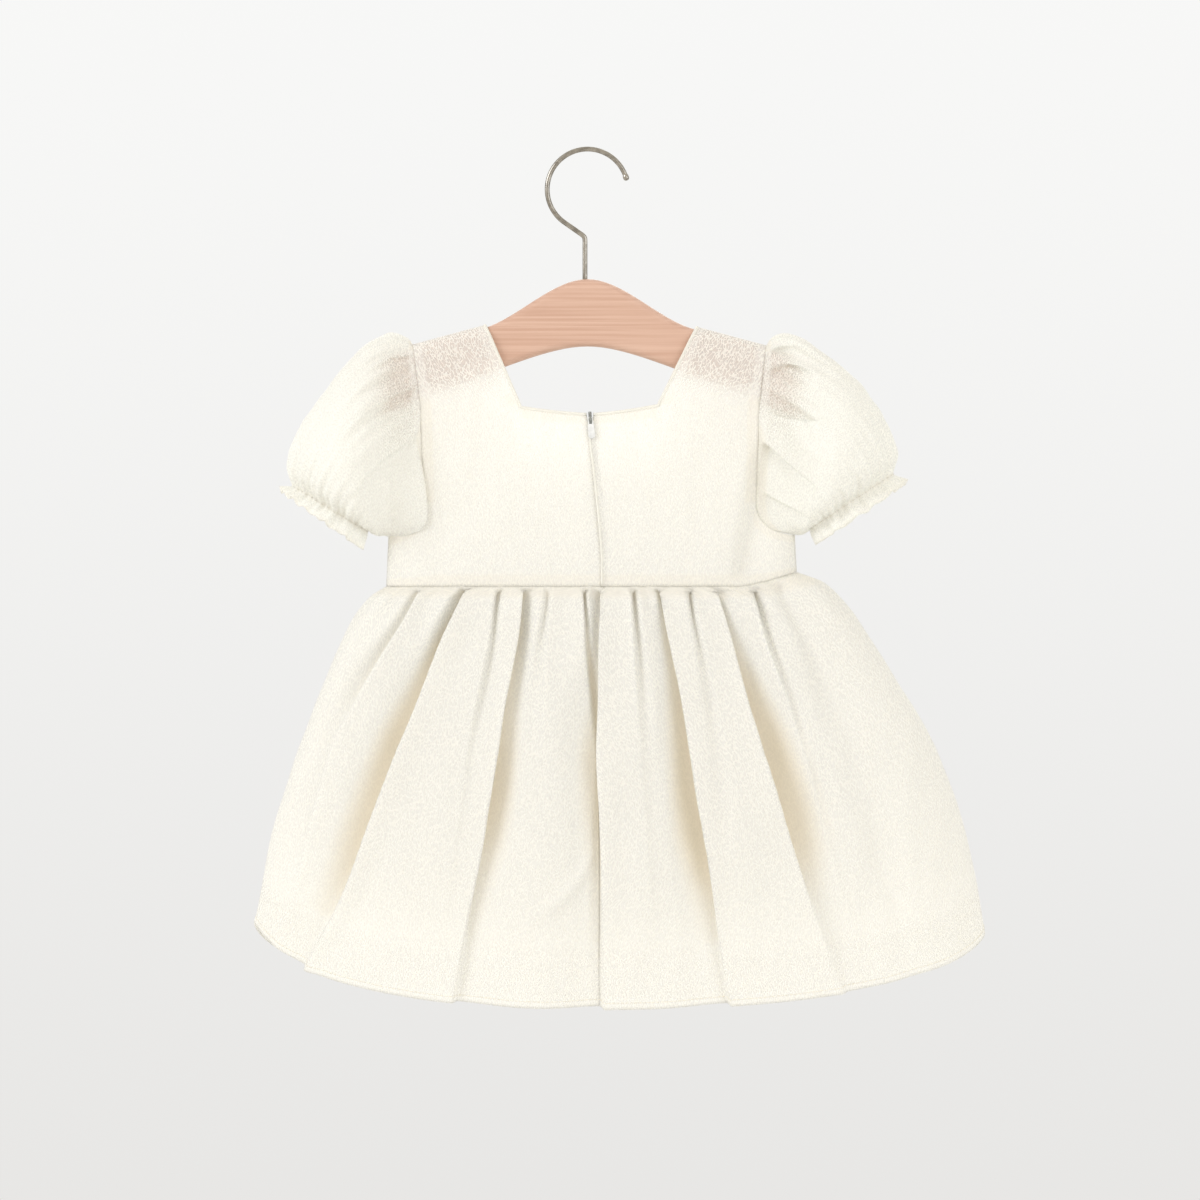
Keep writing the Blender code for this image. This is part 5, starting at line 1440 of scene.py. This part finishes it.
def stitch_row(name, line, length, gap, material):
    """Stitches along a closed line of (point, way out), from one to the next by length and gap."""
    shell = bmesh.new()
    travelled = 0.0
    wanted = 0.0
    for number, (point, out) in enumerate(line):
        after, after_out = line[(number + 1) % len(line)]
        span = (after - point).length
        while wanted < travelled + span:
            share = (wanted - travelled) / span
            along = (after - point).normalized()
            up = out.lerp(after_out, share)
            up = (up - along * up.dot(along)).normalized()
            turned = Matrix((along * length, up.cross(along) * STITCH_WIDTH, up * STITCH_WIDTH))
            middle = point.lerp(after, share) + up * (STITCH_WIDTH * 0.2)
            place = Matrix.Translation(middle * MM) @ (turned.transposed() * MM).to_4x4()
            bmesh.ops.create_cube(shell, size=1.0, matrix=place)
            wanted += length + gap
        travelled += span
    bmesh.ops.recalc_face_normals(shell, faces=shell.faces)
    count = len(shell.faces) // 6
    piece = finish_mesh(name, shell, [material])
    print(f"{name}: {count} stitches")
    return piece


def grid_line(points, columns, row):
    """Closed line of (point, way out) across a ring of points, at a row that may lie between two."""
    low = int(row)
    part = row - low
    places = [points[(column, low)].lerp(points[(column, low + 1)], part) for column in range(columns)]
    line = []
    for column, place in enumerate(places):
        across = places[(column + 1) % columns] - places[column - 1]
        down = points[(column, low + 1)] - points[(column, low)]
        line.append((place, down.cross(across).normalized()))
    return line


thread_finish = grained("sewing thread", "#EFE8D6", "#F8F3E6", (900.0, 900.0, 900.0), 0.00005,
                        {"Roughness": 0.6, "Sheen Weight": 0.2})
# The elastic's stitches are real, but their grey is painted shade: it stands for the small shadows
# between the puckers.
elastic_stitches_painted_shade = grained("elastic thread in painted grey shade", "#BDB8AE", "#D8D3C8", (900.0, 900.0, 900.0), 0.00005,
                         {"Roughness": 0.6, "Sheen Weight": 0.2})
hem_row = SKIRT_ROWS * (1.0 - HEM_STITCH_HEIGHT / SKIRT_LENGTH) ** (1.0 / ROW_POWER)
hem_line = grid_line(skirt_ring, 4 * SKIRT_QUARTER, hem_row)
hem_stitches = stitch_row("hem_stitches", hem_line, 2.0, 0.9, thread_finish)
cuff_stitches = {}
for name, side in (("sleeve_left", SIDES[0]), ("sleeve_right", SIDES[1])):
    elastic_line = grid_line(cuff_points[name], SLEEVE_COLUMNS, ELASTIC_RING * RING_FINE)
    outwards = [(point + out * side["sign"] * 0.1, out * side["sign"]) for point, out in elastic_line]
    cuff_stitches[name] = stitch_row(name + "_stitches", outwards, 1.6, 1.1, elastic_stitches_painted_shade)

# %% [markdown]
# ## Wooden bar of the hanger
# The bar is sawn from a board, and a cutter rounds all its edges. So it starts as its flat outline,
# which is given its thickness and then a wide round bevel. Weighted normals keep its flat faces
# level between the rounded edges.

# %% Wooden bar
WOOD_THICKNESS = 11.0
WOOD_ROUND = 4.8                 # width of the rounded edges
WOOD_TOP = -84.2                 # top of the bar, where the wire goes in
DOME_REACH = 70.0                # the raised middle ends this far out
WOOD_SHOULDER = (67.0, -116.3)   # a place on the straight shoulder
WOOD_SLOPE = -0.27               # the shoulder's fall in a millimetre outwards
SHOULDER_END_X = 116.0           # from here the arm bends down to its end
NOSE_X = 149.0                   # the arm's end
TOE_RADIUS = 10.0                # the rounding under the arm's end
TOE_TURN = 112.0                 # and the degrees it turns through
ARCH_TOP = -128.7                # middle of the lower edge
ARCH_SLOPE = 0.42                # fall of the lower edge further out
ARCH_ROUND = 30.0                # width over which the two arms meet


def bezier(start, first_handle, last_handle, end, steps):
    """Points along a Bezier arc, without its last one."""
    points = []
    for step in range(steps):
        t = step / steps
        s = 1.0 - t
        weights = (s * s * s, 3.0 * s * s * t, 3.0 * s * t * t, t * t * t)
        corners = (start, first_handle, last_handle, end)
        point = [sum(w * corner[axis] for w, corner in zip(weights, corners)) for axis in (0, 1)]
        points.append(tuple(point))
    return points


def wood_top(x):
    """Upper edge: a raised middle that runs into straight shoulders."""
    line = WOOD_SHOULDER[1] + WOOD_SLOPE * (x - WOOD_SHOULDER[0])
    if x >= DOME_REACH:
        return line
    end = WOOD_SHOULDER[1] + WOOD_SLOPE * (DOME_REACH - WOOD_SHOULDER[0])
    s = x / DOME_REACH
    slope = (s * s * s - s * s) * WOOD_SLOPE * DOME_REACH
    return mix(WOOD_TOP, end, soft_step(s)) + slope


def wood_bottom(x):
    """Lower edge: two straight arms that meet in a rounded arch."""
    return ARCH_TOP - ARCH_SLOPE * (math.hypot(x, ARCH_ROUND) - ARCH_ROUND)


def wood_outline():
    """Right half of the outline from the top to the lower middle, and then the left half."""
    shoulder_end = (SHOULDER_END_X, wood_top(SHOULDER_END_X))
    turn = math.radians(TOE_TURN)
    toe_x = NOSE_X - TOE_RADIUS
    toe_z = wood_bottom(toe_x + TOE_RADIUS * math.cos(turn)) + TOE_RADIUS * math.sin(turn)
    half = [(4.0 * count, wood_top(4.0 * count)) for count in range(29)]
    half += bezier(shoulder_end, (SHOULDER_END_X + 18.0, shoulder_end[1] - 4.9),
                   (NOSE_X, toe_z + 18.0), (NOSE_X, toe_z), 14)
    for step in range(17):
        angle = turn * step / 16
        half.append((toe_x + TOE_RADIUS * math.cos(angle), toe_z - TOE_RADIUS * math.sin(angle)))
    half += [(5.0 * count, wood_bottom(5.0 * count)) for count in range(26, -1, -1)]
    return half + [(-x, z) for x, z in reversed(half[1:-1])]


outline = wood_outline()
board = bmesh.new()
bmesh.ops.create_circle(board, cap_ends=True, segments=len(outline), radius=1.0)
in_turn = sorted(board.verts, key=lambda vert: math.atan2(-vert.co.x, -vert.co.y))
for vert, (x, z) in zip(in_turn, outline):
    vert.co = Vector((x, -WOOD_THICKNESS / 2.0, z)) * MM
grown = bmesh.ops.extrude_face_region(board, geom=board.faces[:])
far_side = [part for part in grown["geom"] if isinstance(part, bmesh.types.BMVert)]
bmesh.ops.translate(board, verts=far_side, vec=(0.0, WOOD_THICKNESS * MM, 0.0))
bmesh.ops.recalc_face_normals(board, faces=board.faces)
rims = [edge for edge in board.edges if abs(edge.verts[0].co.y - edge.verts[1].co.y) < 0.001]
bmesh.ops.bevel(board, geom=rims, offset=WOOD_ROUND * MM, segments=6, profile=0.5, affect="EDGES",
                clamp_overlap=False, material=-1)
wood = finish_mesh("hanger_bar", board, [wood_finish])
level = wood.modifiers.new("level faces", "WEIGHTED_NORMAL")
level.mode = "FACE_AREA"
print("Hanger bar:", len(wood.data.polygons), "faces")

# %% [markdown]
# ## Wire hook
# The hook is one wire, bent round and then straight down into the wood. It could be a curve with a
# bevel, but a tube along the bend also gets the small ball that closes its tip.

# %% Wire hook
WIRE_RADIUS = 1.65
HOOK_RADIUS = 26.6        # of the round hook, to the middle of the wire
HOOK_TIP_ANGLE = 16.4     # degrees above level at which the tip lies
HOOK_TURN_END = 235.0     # degrees at which the round hook ends
STEM_X = -1.65            # the stem stands a little left of the middle
NECK_FILLET = 4.0         # length of the bend into the stem
STEM_DEPTH = 12.0         # the wire goes this far into the wood


def hook_route():
    """Middle of the wire from the tip over the round hook and the neck into the wood."""
    centre_z = WIRE_RADIUS - HOOK_RADIUS
    tip = math.radians(HOOK_TIP_ANGLE)
    along = (-math.sin(tip), math.cos(tip))
    start = (HOOK_RADIUS * math.cos(tip), centre_z + HOOK_RADIUS * math.sin(tip))
    ball = smooth_curve(table(
        "run radius",
        (-1.75, 0.25), (-1.6, 0.6), (-1.1, 1.0), (0.0, 1.22), (1.2, 1.2), (2.2, 1.0),
    ), "run", "radius")
    stations = []
    for run in (-1.75, -1.6, -1.35, -1.1, -0.6, 0.0, 0.6, 1.2, 1.7, 2.2):
        place = (start[0] + along[0] * run, start[1] + along[1] * run)
        stations.append((place, ball(run)))
    steps = 72
    for step in range(2, steps + 1):
        angle = math.radians(mix(HOOK_TIP_ANGLE, HOOK_TURN_END, step / steps))
        stations.append(((HOOK_RADIUS * math.cos(angle), centre_z + HOOK_RADIUS * math.sin(angle)), 1.0))
    end = math.radians(HOOK_TURN_END)
    way = (-math.sin(end), math.cos(end))
    last = stations[-1][0]
    corner = (STEM_X, last[1] + way[1] * (STEM_X - last[0]) / way[0])
    bend_start = (corner[0] - way[0] * NECK_FILLET, corner[1] - way[1] * NECK_FILLET)
    bend_end = (STEM_X, corner[1] - NECK_FILLET)
    stations += [(place, 1.0) for place in bezier(bend_start, corner, corner, bend_end, 10)]
    stem = (bend_end, (STEM_X, WOOD_TOP + 4.0), (STEM_X, WOOD_TOP - STEM_DEPTH))
    stations += [(place, 1.0) for place in stem]
    out = Vector((0.0, -1.0, 0.0))
    return [(Vector((place[0], 0.0, place[1])), out, WIRE_RADIUS * radius, WIRE_RADIUS * radius)
            for place, radius in stations]


hook = tube_piece("hanger_wire_hook", hook_route(), 20, steel_finish)

# %% [markdown]
# ## Slider and pull tab
# Both are die cast, so their forms come straight from the CAD, and only the edges need the small
# radius of a real casting. Each is a copy of the CAD mesh, merged, with a bevel.

# %% Slider and pull tab
def cast_piece(name, node, radius, finish):
    """Copy of a CAD node with small rounded edges."""
    shell = bmesh.new()
    shell.from_mesh(frame["nodes"][node].data)
    bmesh.ops.remove_doubles(shell, verts=shell.verts, dist=0.00001)
    bmesh.ops.dissolve_limit(shell, angle_limit=math.radians(2.0), verts=shell.verts, edges=shell.edges)
    bmesh.ops.recalc_face_normals(shell, faces=shell.faces)
    piece = finish_mesh(name, shell, [finish])
    rounding = piece.modifiers.new("cast edges", "BEVEL")
    rounding.width = radius * MM
    rounding.segments = 3
    rounding.limit_method = "ANGLE"
    rounding.angle_limit = math.radians(40.0)
    rounding.profile = 0.5
    rounding.material = -1
    flat = piece.modifiers.new("level faces", "WEIGHTED_NORMAL")
    flat.mode = "FACE_AREA"
    print(f"{name}: {len(piece.data.polygons)} faces")
    return piece


slider = cast_piece("zip_slider_body", "zip_slider", 0.18, slider_finish)
pull_tab = cast_piece("zip_pull", "zip_pull_tab", 0.16, tab_finish)

# %% [markdown]
# ## Floor and surround
# A plain pale floor lies well below the dress. The surround is a soft pale light from all sides: the
# wall behind the dress is a neutral white, and the light from the camera's side is a little warmer,
# as in a room. It gives the valleys of the folds their cream shade.

# %% Floor and surround
FLOOR_Z = -1200.0
FLOOR_RADIUS = 3000.0

floor_mesh = bmesh.new()
bmesh.ops.create_circle(floor_mesh, cap_ends=True, segments=96, radius=FLOOR_RADIUS * MM)
bmesh.ops.translate(floor_mesh, verts=floor_mesh.verts, vec=(0.0, 0.0, FLOOR_Z * MM))
floor_finish, floor_tree, floor_output = new_material("pale matt floor")
floor_shade = add_node(floor_tree, "ShaderNodeBsdfPrincipled",
                       {"Base Color": linear("#E6E4E0"), "Roughness": 0.8})
floor_tree.links.new(floor_shade.outputs["BSDF"], floor_output.inputs["Surface"])
floor = finish_mesh("floor", floor_mesh, [floor_finish])

world = bpy.data.worlds.new("pale surround")
world.use_nodes = True
sky = world.node_tree
around = add_node(sky, "ShaderNodeTexCoord")
parts = add_node(sky, "ShaderNodeSeparateXYZ", {}, {"Vector": around.outputs["Generated"]})
behind = add_node(sky, "ShaderNodeMapRange", {"interpolation_type": "SMOOTHSTEP", "From Min": -1.0},
                  {"Value": parts.outputs["Y"]})
above = add_node(sky, "ShaderNodeMapRange", {"interpolation_type": "SMOOTHSTEP", "From Min": -0.12,
                                             "From Max": 0.1}, {"Value": parts.outputs["Z"]})
wall = add_node(sky, "ShaderNodeMix", {"data_type": "RGBA", 6: linear("#E6E5E3"), 7: linear("#F8F8F7")},
                {0: above.outputs["Result"]})
pale = add_node(sky, "ShaderNodeMix", {"data_type": "RGBA", 6: linear("#ECE5D8")},
                {0: behind.outputs["Result"], 7: wall.outputs[2]})
sky.links.new(pale.outputs[2], sky.nodes["Background"].inputs["Color"])
bpy.context.scene.world = world
bpy.context.scene.view_settings.view_transform = "Standard"
print("Floor at", FLOOR_Z, "mm")

# %% [markdown]
# ## Lights
# Three large soft lights: the key from the upper left as in the photograph, a weaker fill from the
# right, and one behind that lets the thin cloth glow.

# %% Lights
LOOKED_AT = (8.25, -296.0)   # x and z of the middle of the picture

LIGHTS = table(
    "name x y z size power color",
    ("key light", -2300.0, -1500.0, 900.0, 1300.0, 36.0, "#F4F8FF"),
    ("fill light", 1900.0, -2000.0, 200.0, 1800.0, 21.0, "#F0F6FF"),
    ("back light", 300.0, 1800.0, 900.0, 1600.0, 8.0, "#FFFCF4"),
)
for light in LIGHTS:
    lamp = bpy.data.lights.new(light["name"], "AREA")
    lamp.size = light["size"] * MM
    lamp.energy = light["power"]
    lamp.color = linear(light["color"])[:3]
    holder = bpy.data.objects.new(light["name"], lamp)
    holder.location = Vector((light["x"], light["y"], light["z"])) * MM
    aim = Vector((LOOKED_AT[0], 0.0, LOOKED_AT[1])) * MM - holder.location
    holder.rotation_euler = aim.to_track_quat("-Z", "Y").to_euler()
    bpy.context.scene.collection.objects.link(holder)
    print(light["name"], light["power"], "watts")

# %% [markdown]
# ## Camera
# The camera stands far back with a long lens, level with the dress's middle, as for a catalogue. So
# the dress is seen almost without perspective, as in the photograph.

# %% Camera
FRAME_WIDTH = 792.0       # what the camera sees across, at the dress
CAMERA_DISTANCE = 5000.0
SENSOR = 36.0

camera_data = bpy.data.cameras.new("catalogue camera")
camera_data.sensor_width = SENSOR
camera_data.lens = SENSOR * CAMERA_DISTANCE / FRAME_WIDTH
camera_data.clip_end = 50.0
camera = bpy.data.objects.new("catalogue camera", camera_data)
camera.location = Vector((LOOKED_AT[0], -CAMERA_DISTANCE, LOOKED_AT[1])) * MM
camera.rotation_euler = (math.radians(90.0), 0.0, 0.0)
bpy.context.scene.collection.objects.link(camera)
bpy.context.scene.camera = camera
print("Lens:", round(camera_data.lens), "mm")

# %% [markdown]
# ## Hand the pieces over
# Every piece rides on the body that carries it, and the CAD node it stands for is hidden. The zip's
# coil keeps its CAD mesh, with the white nylon finish.

# %% Bodies, slots and sheets
SHEETS = table(
    "node width length area held rests_on",
    ("bodice_back_left", 0.135, 0.175, 0.0175, "hung", "hanger_bar"),
    ("bodice_back_right", 0.135, 0.175, 0.0165, "hung", "hanger_bar"),
    ("bodice_front", 0.270, 0.175, 0.031, "hung", "hanger_bar"),
    ("sleeve_left", 0.35, 0.16, 0.040, "gathered", "bodice_back_left_cloth"),
    ("sleeve_right", 0.35, 0.16, 0.040, "gathered", "bodice_back_right_cloth"),
    ("skirt_back_left", 0.33, 0.29, 0.090, "gathered", "bodice_back_left_cloth"),
    ("skirt_back_right", 0.33, 0.29, 0.090, "gathered", "bodice_back_right_cloth"),
    ("skirt_front", 0.64, 0.28, 0.170, "gathered", "bodice_front_cloth"),
    ("lining_back_left", 0.18, 0.25, 0.042, "hung", "bodice_back_left_cloth"),
    ("lining_back_right", 0.19, 0.25, 0.043, "hung", "bodice_back_right_cloth"),
    ("lining_front", 0.37, 0.25, 0.085, "hung", "bodice_front_cloth"),
)
SHEET_EXTRAS = {
    "bodice_front": [neck_edge],
    "bodice_back_right": [zip_edge],
    "skirt_front": [hem_stitches],
    "sleeve_left": [cuff_stitches["sleeve_left"]],
    "sleeve_right": [cuff_stitches["sleeve_right"]],
}
cloth_pieces = {**bodice_pieces, **skirt_pieces, **lining_pieces, **sleeve_pieces}
for sheet in SHEETS:
    node = sheet["node"]
    piece = cloth_pieces[node]
    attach(piece, "dress")
    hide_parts(node)
    slot = "lace"
    if node.startswith("lining"):
        slot = "lining"
    elif node.startswith("sleeve"):
        slot = "sheer_lace"
    extras = SHEET_EXTRAS.get(node, [])
    for extra in extras:
        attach(extra, "dress")
    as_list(extras)

for piece, body, node, slot in (
    (wood, "dress", "hanger_wood", "wood"),
    (hook, "dress", "hanger_hook", "hook_wire"),
    (slider, "dress", "zip_slider", "zip_metal"),
    (pull_tab, "zip_pull", "zip_pull_tab", "tab_coating"),
):
    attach(piece, body)
    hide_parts(node)

for slot in frame["nodes"]["zip_chain"].material_slots:
    slot.material = coil_finish
print("Sheets:", len(SHEETS))
